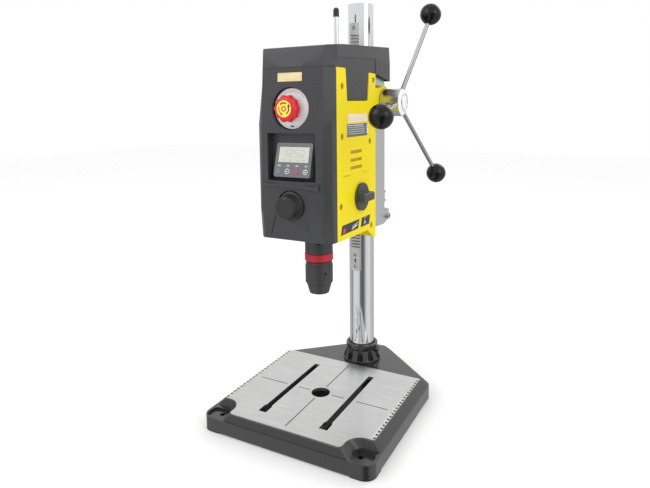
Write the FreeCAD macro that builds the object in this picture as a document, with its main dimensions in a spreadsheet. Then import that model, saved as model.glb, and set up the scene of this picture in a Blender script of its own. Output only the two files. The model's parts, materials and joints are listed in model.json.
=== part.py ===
import FreeCAD, Part
import math
import os
import Sketcher
from FreeCAD import Placement, Rotation, Vector

# Bench drill press: a cast base with a slotted table, a chromed column with a rack, and a head that a
# three-spoke handle racks up and down the column.  Millimetres, +Z up.  The origin is on the spindle
# axis at the bench plane, +X is to the operator's right and -Y is towards the operator.

doc = FreeCAD.newDocument("DrillPress")
sheet = doc.addObject("Spreadsheet::Sheet", "dims")


# ---------------------------------------------------------------------------------------------------
# Sizes that carry their own spreadsheet formula
# ---------------------------------------------------------------------------------------------------

class Size:
    """A number together with the spreadsheet formula that gives it."""

    def __init__(self, formula, value):
        self.formula = formula
        self.value = float(value)

    def __add__(self, other):
        other = as_size(other)
        return Size(f"({self.formula} + {other.formula})", self.value + other.value)

    def __sub__(self, other):
        other = as_size(other)
        return Size(f"({self.formula} - {other.formula})", self.value - other.value)

    def __mul__(self, other):
        other = as_size(other)
        return Size(f"({self.formula} * {other.formula})", self.value * other.value)

    def __truediv__(self, other):
        other = as_size(other)
        return Size(f"({self.formula} / {other.formula})", self.value / other.value)

    def __neg__(self):
        return Size(f"(0 - {self.formula})", -self.value)

    def __rsub__(self, other):
        return as_size(other) - self

    __radd__ = __add__
    __rmul__ = __mul__


def as_size(number):
    """A Size as it is, or a plain number turned into one."""
    if isinstance(number, Size):
        return number
    return Size(f"({number!r})", number)


def cosine(angle):
    angle = as_size(angle)
    return Size(f"cos({angle.formula})", math.cos(math.radians(angle.value)))


def sine(angle):
    angle = as_size(angle)
    return Size(f"sin({angle.formula})", math.sin(math.radians(angle.value)))


def root(size):
    return Size(f"sqrt({size.formula})", math.sqrt(size.value))


def in_order(one, other):
    """Two sizes, the smaller first."""
    return sorted((one, other), key=lambda size: size.value)


def vector(point):
    return Vector(*[as_size(part).value for part in point])


class Dims:
    """The driving dimensions, one spreadsheet row each."""

    def __init__(self):
        self.row = 0

    def set(self, **values):
        for name, value in values.items():
            self.row += 1
            sheet.set(f"A{self.row}", name)
            sheet.set(f"B{self.row}", str(value))
            sheet.setAlias(f"B{self.row}", name)
            setattr(self, name, Size(f"dims.{name}", value))


D = Dims()

# Base casting and table.
D.set(base_width=332, base_front=142, base_side_back=146, base_rear=267, base_rear_width=56)
D.set(foot_thick=2, foot_length=38, skirt_height=26, apron_height=33, rim_height=38, base_wall=8)
D.set(base_web=6, base_corner=20, base_flare=12, front_flare=4, pocket_depth=4)
D.set(plate_width=300, plate_front=134, plate_back=132, plate_top=40, plate_thick=6)
D.set(plate_notch=40, plate_rim=2, plate_gap=0.2)
D.set(slot_offset=61, slot_width=11, slot_entry_width=15.6, slot_entry_length=20)
D.set(slot_front=104, slot_back=97, channel_width=20, channel_depth=9)
D.set(table_bore=17.5, table_boss=27, line_width=1.2, line_depth=0.3)
D.set(scale_width=9.5, scale_thick=0.3)
D.set(bolt_across=274, bolt_front=119, bolt_hole=4.5, plate_screw_across=184, plate_screw_along=224)

# Column, socket and rack.
D.set(column_back=186, column_radius=26, column_wall=3.5, column_top=777, column_foot=10)
D.set(socket_top=70, socket_rim=33.5, socket_foot=40, socket_gap=0.1)
D.set(rack_half_width=10, rack_bottom=233, rack_top=738, rack_module=2, rack_end=46, rack_top_end=24)

# Head shell.
D.set(head_half=70.6, head_wall=3, head_front=94, head_rear=169, head_bottom=349, head_top=687)
D.set(seam_front=62, seam_top=636, side_rear=97, cover_gap=0.15, front_edge=59, plate_sticker=0.6)

# Carrier that slides on the column.
D.set(carrier_half=42, carrier_front=99, carrier_rear=216, carrier_bottom=356, carrier_top=620)
D.set(flange_half=50, flange_thick=8, clamp_bottom=326, clamp_rear=236, slide_gap=0.06)

# Feed shaft and handle.
D.set(feed_back=140, feed_height=580, pinion_teeth=16, pinion_half=9, feed_shaft_radius=8)
D.set(hub_radius=26, hub_start=71.2, hub_end=108, spoke_plane=98, spoke_tilt=13, spoke_length=190)
D.set(spoke_radius=4, spoke_first=67.8, ball_radius=19.4, boss_radius=32, run_gap=0.05)

# Spindle, chuck and gear train.
D.set(spindle_radius=10, nose_radius=8, nose_bottom=320, collar_top=345, collar_bottom=310.5)
D.set(collar_radius=25.4, ring_radius=26, ring_bottom=296, core_radius=20, core_bottom=237)
D.set(sleeve_radius=25.2, sleeve_tip=18, sleeve_bottom=235, sleeve_gap=0.12, chuck_bore=6.8)
D.set(jaw_radius=3.2, jaw_tilt=18, jaw_start=9, jaw_length=21, jaw_gap=0.1)
D.set(box_half=50, box_front=40, box_bottom=352, box_top=440, box_wall=5, box_plate=6)
D.set(bearing_radius=17.5, bearing_width=12, bearing_gap=0.03)
D.set(spindle_module=1.25, spindle_teeth=48, lay_small_teeth=16, motor_module=1, lay_large_teeth=48)
D.set(motor_teeth=12, motor_back=58, lay_radius=5, motor_shaft=4)
D.set(motor_radius=36, motor_wall=3, motor_length=140, rotor_radius=26, fan_radius=31)

# Operating parts on the front and side.
D.set(dial_height=570, dial_radius=35, dial_floor=83, stop_radius=23, stop_face=110, stem_radius=8)
D.set(display_height=485.5, display_depth=83.5, display_width=70, display_tall=58, display_thick=18)
D.set(display_tilt=15, screen_width=58, screen_tall=26, key_radius=5, key_gap=0.12)
D.set(speed_height=410, speed_radius=24, speed_face=113, speed_grip=18.5, pot_radius=11, pot_shaft=3)
D.set(selector_along=29.4, selector_height=412.5, selector_radius=25, selector_shaft=5)
D.set(rod_across=20, rod_back=116, rod_radius=4.2, rod_top=746, rod_bottom=400, rod_gap=0.06)


# ---------------------------------------------------------------------------------------------------
# Sketches
# ---------------------------------------------------------------------------------------------------

PLANE_TURN = {
    "XY": Rotation(),
    "XZ": Rotation(Vector(1, 0, 0), 90),
    "YZ": Rotation(Vector(1, 1, 1), 120),
}
# The sign with which a plane's own normal runs along its world axis.
PLANE_SIGN = {"XY": 1, "XZ": -1, "YZ": 1}


def add_constraint(sketch, size, *arguments):
    """Adds a dimension and binds it to the size's formula."""
    size = as_size(size)
    index = sketch.addConstraint(Sketcher.Constraint(*arguments, size.value))
    sketch.setExpression(f"Constraints[{index}]", size.formula)


def fix_point(sketch, geometry, end, x, y):
    add_constraint(sketch, x, "DistanceX", -1, 1, geometry, end)
    add_constraint(sketch, y, "DistanceY", -1, 1, geometry, end)


def draw_circle(sketch, x, y, radius):
    centre = Vector(as_size(x).value, as_size(y).value, 0)
    circle = Part.Circle(centre, Vector(0, 0, 1), as_size(radius).value)
    index = sketch.addGeometry(circle, False)
    add_constraint(sketch, radius, "Radius", index)
    fix_point(sketch, index, 3, x, y)


def corner_arc(before, corner, after, radius):
    """Where a rounding of a corner starts and ends, its centre, and whether it turns left."""
    back = (before - corner).normalize()
    ahead = (after - corner).normalize()
    half = back.getAngle(ahead) / 2
    reach = radius / math.tan(half)
    start = corner + back * reach
    end = corner + ahead * reach
    middle = (back + ahead).normalize()
    centre = corner + middle * (radius / math.sin(half))
    left = (-back.x * ahead.y + back.y * ahead.x) > 0
    return start, end, centre, left


def draw_polygon(sketch, points):
    """A closed outline of straight runs, whose points may each have a rounding radius."""
    points = [tuple(point) + (0,) * (3 - len(point)) for point in points]
    corners = [Vector(as_size(x).value, as_size(y).value, 0) for x, y, _ in points]
    count = len(points)
    rounds = []
    for index, (_, _, radius) in enumerate(points):
        radius = as_size(radius)
        if radius.value == 0:
            rounds.append(None)
            continue
        arc = corner_arc(corners[index - 1], corners[index], corners[(index + 1) % count], radius.value)
        rounds.append(arc + (radius,))
    lines = []
    for index in range(count):
        following = (index + 1) % count
        start = rounds[index][1] if rounds[index] else corners[index]
        end = rounds[following][0] if rounds[following] else corners[following]
        lines.append(sketch.addGeometry(Part.LineSegment(start, end), False))
    for index, (x, y, _) in enumerate(points):
        entering, leaving = lines[index - 1], lines[index]
        if rounds[index] is None:
            sketch.addConstraint(Sketcher.Constraint("Coincident", entering, 2, leaving, 1))
            fix_point(sketch, leaving, 1, x, y)
            continue
        start, end, centre, left, radius = rounds[index]
        first, last = (start, end) if left else (end, start)
        angles = [math.atan2(p.y - centre.y, p.x - centre.x) for p in (first, last)]
        circle = Part.Circle(centre, Vector(0, 0, 1), radius.value)
        arc = sketch.addGeometry(Part.ArcOfCircle(circle, *angles), False)
        enters, leaves = (1, 2) if left else (2, 1)
        sketch.addConstraint(Sketcher.Constraint("Tangent", entering, 2, arc, enters))
        sketch.addConstraint(Sketcher.Constraint("Tangent", leaving, 1, arc, leaves))
        add_constraint(sketch, radius, "Radius", arc)
        mark = sketch.addGeometry(Part.Point(corners[index]), True)
        sketch.addConstraint(Sketcher.Constraint("PointOnObject", mark, 1, entering))
        sketch.addConstraint(Sketcher.Constraint("PointOnObject", mark, 1, leaving))
        fix_point(sketch, mark, 1, x, y)


def draw(sketch, loops):
    """Draws loops: a circle is (x, y, radius) of numbers, an outline is a list of points."""
    for loop in loops:
        if isinstance(loop, list):
            draw_polygon(sketch, loop)
        else:
            draw_circle(sketch, *loop)


def rectangle(low_x, low_y, high_x, high_y, radius=0):
    """The four corners of a rectangle, from its lowest and highest corners."""
    return [
        (low_x, low_y, radius),
        (high_x, low_y, radius),
        (high_x, high_y, radius),
        (low_x, high_y, radius),
    ]


# ---------------------------------------------------------------------------------------------------
# Part primitives and booleans
# ---------------------------------------------------------------------------------------------------

def bind(thing, **sizes):
    for name, size in sizes.items():
        thing.setExpression(name, as_size(size).formula)


def place(thing, at, turn=None):
    """Puts an object at a point whose coordinates are bound to the sheet."""
    thing.Placement = Placement(vector(at), turn or Rotation())
    for name, size in zip("xyz", at):
        thing.setExpression(f"Placement.Base.{name}", as_size(size).formula)
    return thing


def named(thing, label):
    thing.Label = label
    return thing


def box(low, high):
    """A box from its lowest to its highest corner."""
    thing = doc.addObject("Part::Box", "box")
    spans = [as_size(top) - as_size(bottom) for bottom, top in zip(low, high)]
    bind(thing, Length=spans[0], Width=spans[1], Height=spans[2])
    return place(thing, low)


AXIS_TURN = {
    "X": Rotation(Vector(0, 1, 0), 90),
    "Y": Rotation(Vector(1, 0, 0), -90),
    "Z": Rotation(),
}


def axis_turn(axis):
    """A named axis or a rotation, as the rotation that turns +Z onto it."""
    return AXIS_TURN[axis] if isinstance(axis, str) else axis


def cylinder(at, radius, length, axis="Z"):
    """A cylinder from its start point along a named axis or a turn."""
    thing = doc.addObject("Part::Cylinder", "cylinder")
    bind(thing, Radius=radius, Height=length)
    return place(thing, at, axis_turn(axis))


def cone(at, radius, end_radius, length, axis="Z"):
    thing = doc.addObject("Part::Cone", "cone")
    bind(thing, Radius1=radius, Radius2=end_radius, Height=length)
    return place(thing, at, axis_turn(axis))


def sphere(at, radius):
    thing = doc.addObject("Part::Sphere", "sphere")
    bind(thing, Radius=radius)
    return place(thing, at)


def prism(plane, start, end, *loops):
    """Loops drawn in a world plane and extruded from start to end along that plane's world axis."""
    sketch = doc.addObject("Sketcher::SketchObject", "outline")
    axis = {"XY": 2, "XZ": 1, "YZ": 0}[plane]
    at = [0, 0, 0]
    at[axis] = end if PLANE_SIGN[plane] < 0 else start
    place(sketch, at, PLANE_TURN[plane])
    draw(sketch, loops)
    thing = doc.addObject("Part::Extrusion", "prism")
    thing.Base = sketch
    thing.DirMode = "Normal"
    thing.Solid = True
    bind(thing, LengthFwd=as_size(end) - as_size(start))
    return thing


def ruled(sections):
    """A solid whose sides run straight between outlines at given heights."""
    sketches = []
    for height, outline in sections:
        sketch = doc.addObject("Sketcher::SketchObject", "section")
        place(sketch, (0, 0, height))
        draw(sketch, [outline])
        sketches.append(sketch)
    thing = doc.addObject("Part::Loft", "ruled")
    thing.Sections = sketches
    thing.Solid = True
    thing.Ruled = True
    return thing


def cut(base, *tools):
    """The base with every tool cut from it, one boolean at a time."""
    for tool in tools:
        thing = doc.addObject("Part::Cut", "cut")
        thing.Base = base
        thing.Tool = tool
        base = thing
    return base


def fuse(*things):
    thing = doc.addObject("Part::MultiFuse", "fuse")
    thing.Shapes = list(things)
    thing.Refine = True
    return thing


def common(base, *others):
    """What all the solids share, one boolean at a time."""
    for other in others:
        thing = doc.addObject("Part::Common", "common")
        thing.Base = base
        thing.Tool = other
        base = thing
    return base


def group(*things):
    """Separate solids kept together in one node."""
    thing = doc.addObject("Part::Compound", "group")
    thing.Links = list(things)
    return thing


def round_edges(base, radius, chosen):
    """Rounds the edges that the chosen function picks out of the base's own edges."""
    doc.recompute()
    radius = as_size(radius).value
    picked = [index + 1 for index, edge in enumerate(base.Shape.Edges) if chosen(edge)]
    if not picked:
        raise RuntimeError(f"no edge of {base.Label} to round")
    thing = doc.addObject("Part::Fillet", "rounded")
    thing.Base = base
    thing.Edges = [(index, radius, radius) for index in picked]
    return thing


def bevel_edges(base, size, chosen):
    """Chamfers the edges that the chosen function picks out of the base's own edges."""
    doc.recompute()
    size = as_size(size).value
    picked = [index + 1 for index, edge in enumerate(base.Shape.Edges) if chosen(edge)]
    if not picked:
        raise RuntimeError(f"no edge of {base.Label} to chamfer")
    thing = doc.addObject("Part::Chamfer", "bevelled")
    thing.Base = base
    thing.Edges = [(index, size, size) for index in picked]
    return thing


# ---------------------------------------------------------------------------------------------------
# PartDesign bodies
# ---------------------------------------------------------------------------------------------------

class Piece:
    """A PartDesign body that grows feature by feature, drawn in its own origin planes."""

    def __init__(self, label, at=(0, 0, 0), turn=None):
        self.body = doc.addObject("PartDesign::Body", label)
        self.body.Label = label
        place(self.body, at, turn)

    def plane(self, name):
        for feature in self.body.Origin.OriginFeatures:
            if feature.Role == f"{name}_Plane":
                return feature
        raise RuntimeError(f"{self.body.Label} has no plane {name}")

    def sketch(self, plane, height, loops):
        sketch = self.body.newObject("Sketcher::SketchObject", "sketch")
        sketch.AttachmentSupport = (self.plane(plane), [""])
        sketch.MapMode = "FlatFace"
        offset = as_size(height) * PLANE_SIGN[plane]
        sketch.AttachmentOffset = Placement(Vector(0, 0, offset.value), Rotation())
        sketch.setExpression("AttachmentOffset.Base.z", offset.formula)
        draw(sketch, loops)
        return sketch

    def feature(self, kind, sketch):
        feature = self.body.newObject(f"PartDesign::{kind}", kind.lower())
        feature.Profile = sketch
        sketch.Visibility = False
        return feature

    def volume(self):
        doc.recompute()
        return self.body.Shape.Volume if self.body.Shape.Solids else 0

    def grow(self, kind, plane, start, end, loops):
        """A pad or a pocket between two heights on a world axis; its volume has to change."""
        before = self.volume()
        sketch = self.sketch(plane, start, loops)
        feature = self.feature(kind, sketch)
        length = as_size(end) - as_size(start)
        along = length.value * PLANE_SIGN[plane] > 0
        feature.Reversed = along if kind == "Pocket" else not along
        bind(feature, Length=length if length.value > 0 else -length)
        change = self.volume() - before
        if (change <= 0) if kind == "Pad" else (change >= 0):
            raise RuntimeError(f"{self.body.Label}: a {kind.lower()} changed nothing")
        return feature

    def pad(self, plane, start, end, *loops):
        return self.grow("Pad", plane, start, end, loops)

    def pocket(self, plane, start, end, *loops):
        return self.grow("Pocket", plane, start, end, loops)

    def loft(self, *sections):
        """A ruled loft through sections, each a height and its loops on the XY plane."""
        sketches = [self.sketch("XY", height, loops) for height, loops in sections]
        feature = self.feature("AdditiveLoft", sketches[0])
        feature.Sections = sketches[1:]
        feature.Ruled = True
        return feature

    def turn(self, kind, points):
        """A revolution or a groove: an outline of (radius, height) points turned about local Z."""
        sketch = self.sketch("XZ", 0, [points])
        feature = self.feature(kind, sketch)
        feature.ReferenceAxis = (sketch, ["V_Axis"])
        feature.Angle = 360
        return feature

    def revolve(self, points):
        return self.turn("Revolution", points)

    def groove(self, points):
        before = self.volume()
        feature = self.turn("Groove", points)
        if self.volume() >= before:
            raise RuntimeError(f"{self.body.Label}: a groove cut nothing")
        return feature

    def repeat_round(self, original, count):
        """Copies of a feature about local Z."""
        pattern = self.body.newObject("PartDesign::PolarPattern", "pattern")
        pattern.Originals = [original]
        pattern.Axis = (original.Profile[0], ["N_Axis"])
        pattern.Angle = 360
        pattern.Occurrences = count
        self.body.Tip = pattern
        return pattern


# ---------------------------------------------------------------------------------------------------
# Gears
# ---------------------------------------------------------------------------------------------------

PRESSURE_ANGLE = 20
ADDENDUM = 0.85
DEDENDUM = 1.2
BACKLASH = 0.16


def involute(angle):
    return math.tan(angle) - angle


def gear_outline(teeth, module, first_tooth):
    """The closed outline of an involute gear, with one tooth centred on the first_tooth angle."""
    pitch = teeth * module / 2
    base = pitch * math.cos(math.radians(PRESSURE_ANGLE))
    root_radius = pitch - DEDENDUM * module
    tip = pitch + ADDENDUM * module
    low = max(base, root_radius)
    half_at_pitch = math.pi / (2 * teeth) - BACKLASH * module / (2 * pitch)
    at_pitch = half_at_pitch + involute(math.radians(PRESSURE_ANGLE))
    flank = []
    steps = 3
    for step in range(steps + 1):
        radius = low + (tip - low) * step / steps
        flank.append((radius, at_pitch - involute(math.acos(min(1, base / radius)))))
    if root_radius < low:
        flank.insert(0, (root_radius, flank[0][1]))
    points = []
    for tooth in range(teeth):
        centre = math.radians(first_tooth) + 2 * math.pi * tooth / teeth
        for radius, half in flank:
            points.append((radius, centre - half))
        for radius, half in reversed(flank):
            points.append((radius, centre + half))
    outline = [Vector(radius * math.cos(angle), radius * math.sin(angle), 0) for radius, angle in points]
    return Part.makePolygon(outline + outline[:1])


def gear(teeth, module, width, first_tooth, at, turn=None):
    """A spur gear whose axis is local Z and whose lower face is at the given point."""
    count = int(round(teeth.value))
    thing = doc.addObject("Part::Feature", "gear")
    face = Part.Face(gear_outline(count, module.value, first_tooth))
    thing.Shape = face.extrude(Vector(0, 0, as_size(width).value))
    return place(thing, at, turn)


# ---------------------------------------------------------------------------------------------------
# Base and table
# ---------------------------------------------------------------------------------------------------

nodes = []


def node(label, thing):
    """Names a finished sub-part; it is written out under that name."""
    thing = thing.body if isinstance(thing, Piece) else thing
    thing.Label = label
    nodes.append(thing)
    return thing


BASE_HALF = D.base_width / 2
PLATE_HALF = D.plate_width / 2
BOLT_HALF = D.bolt_across / 2
SIDES = (-1, 1)


def mirrored(points):
    """An outline of right-hand points, closed by the same points on the left."""
    right = [tuple(point) + (0,) * (3 - len(point)) for point in points]
    return right + [(-x, y, r) for x, y, r in reversed(right)]


def table_outline(grow_side, grow_front=None, notch_round=28):
    """The table's outline with its notched front corners, grown outwards by the given distances."""
    grow_side = as_size(grow_side)
    grow_front = grow_side if grow_front is None else as_size(grow_front)
    side = PLATE_HALF + grow_side
    front = -(D.plate_front + grow_front)
    return mirrored([
        (side - D.plate_notch, front, 6),
        (side - D.plate_notch, front + D.plate_notch, notch_round - grow_side),
        (side, front + D.plate_notch, 4),
        (side, D.plate_back + grow_side, 3),
    ])


def base_outline(inset, corner):
    """The outline of the skirt: straight sides and a tail that narrows behind the column."""
    inset = as_size(inset)
    return mirrored([
        (BASE_HALF - inset, -D.base_front + inset, corner),
        (BASE_HALF - inset, D.base_side_back - inset * 0.4, 25),
        (D.base_rear_width / 2, D.base_rear - inset * 1.4, 12),
    ])


def make_base():
    piece = Piece("base_casting")
    piece.pad("XY", D.foot_thick, D.skirt_height, base_outline(0, D.base_corner))
    tail = mirrored([
        (BASE_HALF - 12, D.plate_back - 10),
        (BASE_HALF - 12, D.base_side_back - 5, 20),
        (D.base_rear_width / 2 - 2, D.base_rear - 9, 10),
    ])
    piece.pad("XY", D.skirt_height, D.apron_height, tail)
    flared = table_outline(D.plate_rim + D.base_flare, D.plate_rim + D.front_flare)
    piece.loft((D.skirt_height - 0.5, [flared]),
               (D.rim_height, [table_outline(D.plate_rim)]))
    recess = D.plate_top - D.plate_thick
    piece.pocket("XY", D.rim_height, recess, table_outline(D.plate_gap))
    for side in SIDES:
        piece.pocket("XY", recess, recess - D.channel_depth,
                     rectangle(D.slot_offset * side - D.channel_width / 2, -D.slot_front,
                               D.slot_offset * side + D.channel_width / 2, D.slot_back))
        low, high = in_order((BOLT_HALF - 13) * side, (BASE_HALF - 5) * side)
        piece.pocket("XY", D.skirt_height, D.skirt_height - D.pocket_depth,
                     rectangle(low, -(D.base_front - 5), high, -(D.bolt_front - 11), 9))
    channel_roof = recess - D.channel_depth - D.base_web
    roof = recess - D.base_web
    islands = [(0, 0, D.table_boss), (0, D.column_back, D.socket_foot + 3)]
    for side in SIDES:
        islands.append((BOLT_HALF * side, -D.bolt_front, D.bolt_hole * 2.6))
        for end in SIDES:
            islands.append((D.plate_screw_across / 2 * side, D.plate_screw_along / 2 * end, 9))
    piece.pocket("XY", D.foot_thick, channel_roof, base_outline(D.base_wall, 14), *islands)
    tail_edge = D.plate_back + 4
    for side in SIDES:
        inner, outer = D.slot_offset - D.channel_width / 2 - D.base_web, BASE_HALF - D.base_wall * 2.5
        far = D.slot_offset + D.channel_width / 2 + D.base_web
        for near, away in ((D.table_boss + 2, inner), (far, D.plate_screw_across / 2 - 9)):
            low, high = in_order(near * side, away * side)
            if high.value - low.value > 4:
                piece.pocket("XY", channel_roof, roof,
                             rectangle(low, 16 - D.plate_front, high, D.plate_back - 30))
        low, high = in_order((D.plate_screw_across / 2 + 9) * side, outer * side)
        piece.pocket("XY", channel_roof, roof,
                     rectangle(low, D.plate_notch + 16 - D.plate_front, high, tail_edge - 30))
    piece.pad("XY", 0, channel_roof + 0.5, (0, 0, D.table_boss))
    holes = [(0, 0, D.table_bore)]
    for side in SIDES:
        holes.append((BOLT_HALF * side, -D.bolt_front, D.bolt_hole))
        for end in SIDES:
            holes.append((D.plate_screw_across / 2 * side, D.plate_screw_along / 2 * end, 2.6))
    piece.pocket("XY", 0, D.rim_height, *holes)
    piece.pocket("XY", D.apron_height, D.column_foot, (0, D.column_back, D.column_radius + D.socket_gap))
    node("base_casting", piece)


def make_feet():
    """Rubber pads under the corners and the tail."""
    hole = D.bolt_hole + 1
    feet = []
    for side in SIDES:
        edge = BASE_HALF * side
        inner = (BASE_HALF - D.foot_length) * side
        corner = [(edge, -D.base_front, D.base_corner), (edge, -D.base_front + D.foot_length),
                  (inner, -D.base_front + D.foot_length), (inner, -D.base_front)]
        corner = corner if side > 0 else list(reversed(corner))
        feet.append(prism("XY", 0, D.foot_thick, corner, (BOLT_HALF * side, -D.bolt_front, hole)))
        low, high = in_order(edge - 3 * side, inner)
        feet.append(prism("XY", 0, D.foot_thick,
                          rectangle(low, D.base_side_back - D.foot_length - 24, high,
                                    D.base_side_back - 24, 4)))
    feet.append(prism("XY", 0, D.foot_thick,
                      rectangle(-D.base_rear_width / 2, D.base_rear - 28, D.base_rear_width / 2,
                                D.base_rear - 3, 4)))
    node("rubber_feet", group(*feet))


def make_plate():
    piece = Piece("table_plate")
    bottom = D.plate_top - D.plate_thick
    piece.pad("XY", bottom, D.plate_top, table_outline(0), (0, 0, D.table_bore))
    for side in SIDES:
        piece.pocket("XY", D.plate_top, bottom, slot_outline(D.slot_offset * side))
        low, high = in_order((PLATE_HALF + 1) * side, (PLATE_HALF - D.scale_width) * side)
        piece.pocket("XY", D.plate_top, D.plate_top - D.scale_thick,
                     rectangle(low, D.plate_notch - D.plate_front + 4.5, high, D.plate_back - 1))
    engrave = D.plate_top - D.line_depth
    half = D.line_width / 2
    clear = D.table_bore + 5
    gap = D.slot_width / 2 + 7
    lines = [rectangle(-half, clear, half, D.plate_back - 10),
             rectangle(-half, 10 - D.plate_front, half, -clear)]
    for low, high in ((clear, D.slot_offset - gap), (D.slot_offset + gap, PLATE_HALF - 15)):
        lines.append(rectangle(low, -half, high, half))
        lines.append(rectangle(-high, -half, -low, half))
    piece.pocket("XY", D.plate_top, engrave, *lines)
    screws = []
    for side in SIDES:
        for end in SIDES:
            screws.append((D.plate_screw_across / 2 * side, D.plate_screw_along / 2 * end, 2.1))
    piece.pocket("XY", bottom, bottom + 4.5, *screws)
    node("table_plate", piece)


def slot_outline(centre):
    """A slot with a wider entry at its front end."""
    half = D.slot_width / 2
    entry = D.slot_entry_width / 2
    step = -D.slot_front + D.slot_entry_length
    return [
        (centre - entry, -D.slot_front),
        (centre + entry, -D.slot_front),
        (centre + entry, step),
        (centre + half, step + 3),
        (centre + half, D.slot_back),
        (centre - half, D.slot_back),
        (centre - half, step + 3),
        (centre - entry, step),
    ]


def make_scales():
    """Thin graduated strips let in flush along both edges of the table."""
    strips = []
    for side in SIDES:
        low, high = in_order(PLATE_HALF * side, (PLATE_HALF - D.scale_width) * side)
        strips.append(box((low, D.plate_notch - D.plate_front + 4.5, D.plate_top - D.scale_thick),
                          (high, D.plate_back - 1, D.plate_top)))
    node("table_scales", group(*strips))


def make_plate_screws():
    """Screws that pull the table down from below."""
    roof = D.plate_top - D.plate_thick
    screws = []
    for side in SIDES:
        for end in SIDES:
            x = D.plate_screw_across / 2 * side
            y = D.plate_screw_along / 2 * end
            head = cylinder((x, y, D.foot_thick - 1.8), 4.2, 1.8)
            screws.append(fuse(head, cylinder((x, y, D.foot_thick), 2.05, roof + 4 - D.foot_thick)))
    node("plate_screws", group(*screws))


# ---------------------------------------------------------------------------------------------------
# Column
# ---------------------------------------------------------------------------------------------------

COLUMN_FLAT = root(D.column_radius * D.column_radius - D.rack_half_width * D.rack_half_width)
RACK_BACK = D.column_back - COLUMN_FLAT
PINION_RADIUS = D.pinion_teeth * D.rack_module / 2
RACK_LINE = D.feed_back + PINION_RADIUS
RACK_TIP = RACK_LINE - D.rack_module * ADDENDUM
RACK_PITCH = D.rack_module * math.pi


def make_socket():
    """The fluted bell that holds the foot of the column."""
    piece = Piece("column_socket", (0, D.column_back, 0))
    inner = D.column_radius + D.socket_gap
    foot = D.apron_height
    top = D.socket_top
    piece.revolve([
        (inner, foot),
        (D.socket_foot, foot),
        (D.socket_foot, foot + 4),
        (D.socket_foot - 2.5, foot + 9, 4),
        (D.socket_rim - 1.5, top - 12, 4),
        (D.socket_rim, top - 8),
        (D.socket_rim, top - 1.5, 1),
        (D.socket_rim - 2, top, 1),
        (inner + 3, top, 1),
        (inner, top - 4),
    ])
    flute = piece.pocket("XY", top - 9, foot + 5, (D.socket_rim + 4, 0, 6))
    piece.repeat_round(flute, 10)
    lug = piece.pad("YZ", inner + 2, D.socket_rim + 5, (0, top - 12, 6))
    lug.Label = "screw_lug"
    piece.pocket("YZ", D.socket_rim + 6, inner - 1, (0, top - 12, 3))
    node("column_socket", piece)
    screw_start = D.column_radius + 0.02
    screw = cylinder((screw_start, D.column_back, top - 12), 2.95, D.socket_rim + 4 - screw_start, "X")
    socket = cylinder((D.socket_rim + 1, D.column_back, top - 12), 1.5, 3, "X")
    node("socket_screw", cut(screw, socket))


def make_column():
    height = D.column_top - D.column_foot
    tube = cut(cylinder((0, D.column_back, D.column_foot), D.column_radius, height),
               cylinder((0, D.column_back, D.column_foot - 1), D.column_radius - D.column_wall, height + 2))
    flat = box((-D.rack_half_width - 2, RACK_BACK - 6, D.rack_bottom),
               (D.rack_half_width + 2, RACK_BACK, D.rack_top))
    holes = [cylinder((0, RACK_BACK - 1, z), 1.8, 6, "Y") for z in rack_screw_heights()]
    node("column_tube", cut(tube, flat, *holes))


def rack_screw_heights():
    return (D.rack_bottom + 9, D.rack_bottom + 33.5, D.rack_top - 10)


def make_rack():
    """A straight rack seated on the column's flat, with plain ends for its screws."""
    piece = Piece("column_rack")
    half = D.rack_half_width
    piece.pad("XY", D.rack_bottom, D.rack_top, rectangle(-half, RACK_TIP, half, RACK_BACK))
    slope = math.tan(math.radians(PRESSURE_ANGLE))
    tip = D.rack_module * ADDENDUM
    depth = D.rack_module * DEDENDUM
    gap = RACK_PITCH / 4 + D.rack_module * BACKLASH / 2
    below = math.floor((D.feed_height.value - D.rack_bottom.value - D.rack_end.value) / RACK_PITCH.value)
    above = math.floor((D.rack_top.value - D.rack_top_end.value - D.feed_height.value) / RACK_PITCH.value)
    start = D.feed_height - RACK_PITCH * below
    wide = gap + (tip + 1) * slope
    narrow = gap - depth * slope
    notch = piece.pocket("YZ", -half - 1, half + 1, [
        (RACK_TIP - 1, start - wide),
        (RACK_LINE + depth, start - narrow),
        (RACK_LINE + depth, start + narrow),
        (RACK_TIP - 1, start + wide),
    ])
    pattern = piece.body.newObject("PartDesign::LinearPattern", "teeth")
    pattern.Originals = [notch]
    pattern.Direction = (notch.Profile[0], ["V_Axis"])
    pattern.Occurrences = below + above + 1
    bind(pattern, Length=RACK_PITCH * (below + above))
    piece.body.Tip = pattern
    for z in rack_screw_heights():
        piece.pocket("XZ", RACK_TIP - 1, RACK_BACK + 1, (0, z, 2.1))
        piece.pocket("XZ", RACK_TIP - 1, RACK_TIP + 3, (0, z, 4))
    node("column_rack", piece)
    screws = []
    for z in rack_screw_heights():
        head = cylinder((0, RACK_TIP + 0.6, z), 3.8, 2.4, "Y")
        hexagon = cylinder((0, RACK_TIP + 0.5, z), 1.6, 1.5, "Y")
        screws.append(cut(fuse(head, cylinder((0, RACK_TIP + 3, z), 1.75, 6, "Y")), hexagon))
    node("rack_screws", group(*screws))


# ---------------------------------------------------------------------------------------------------
# Head shell
# ---------------------------------------------------------------------------------------------------

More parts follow.
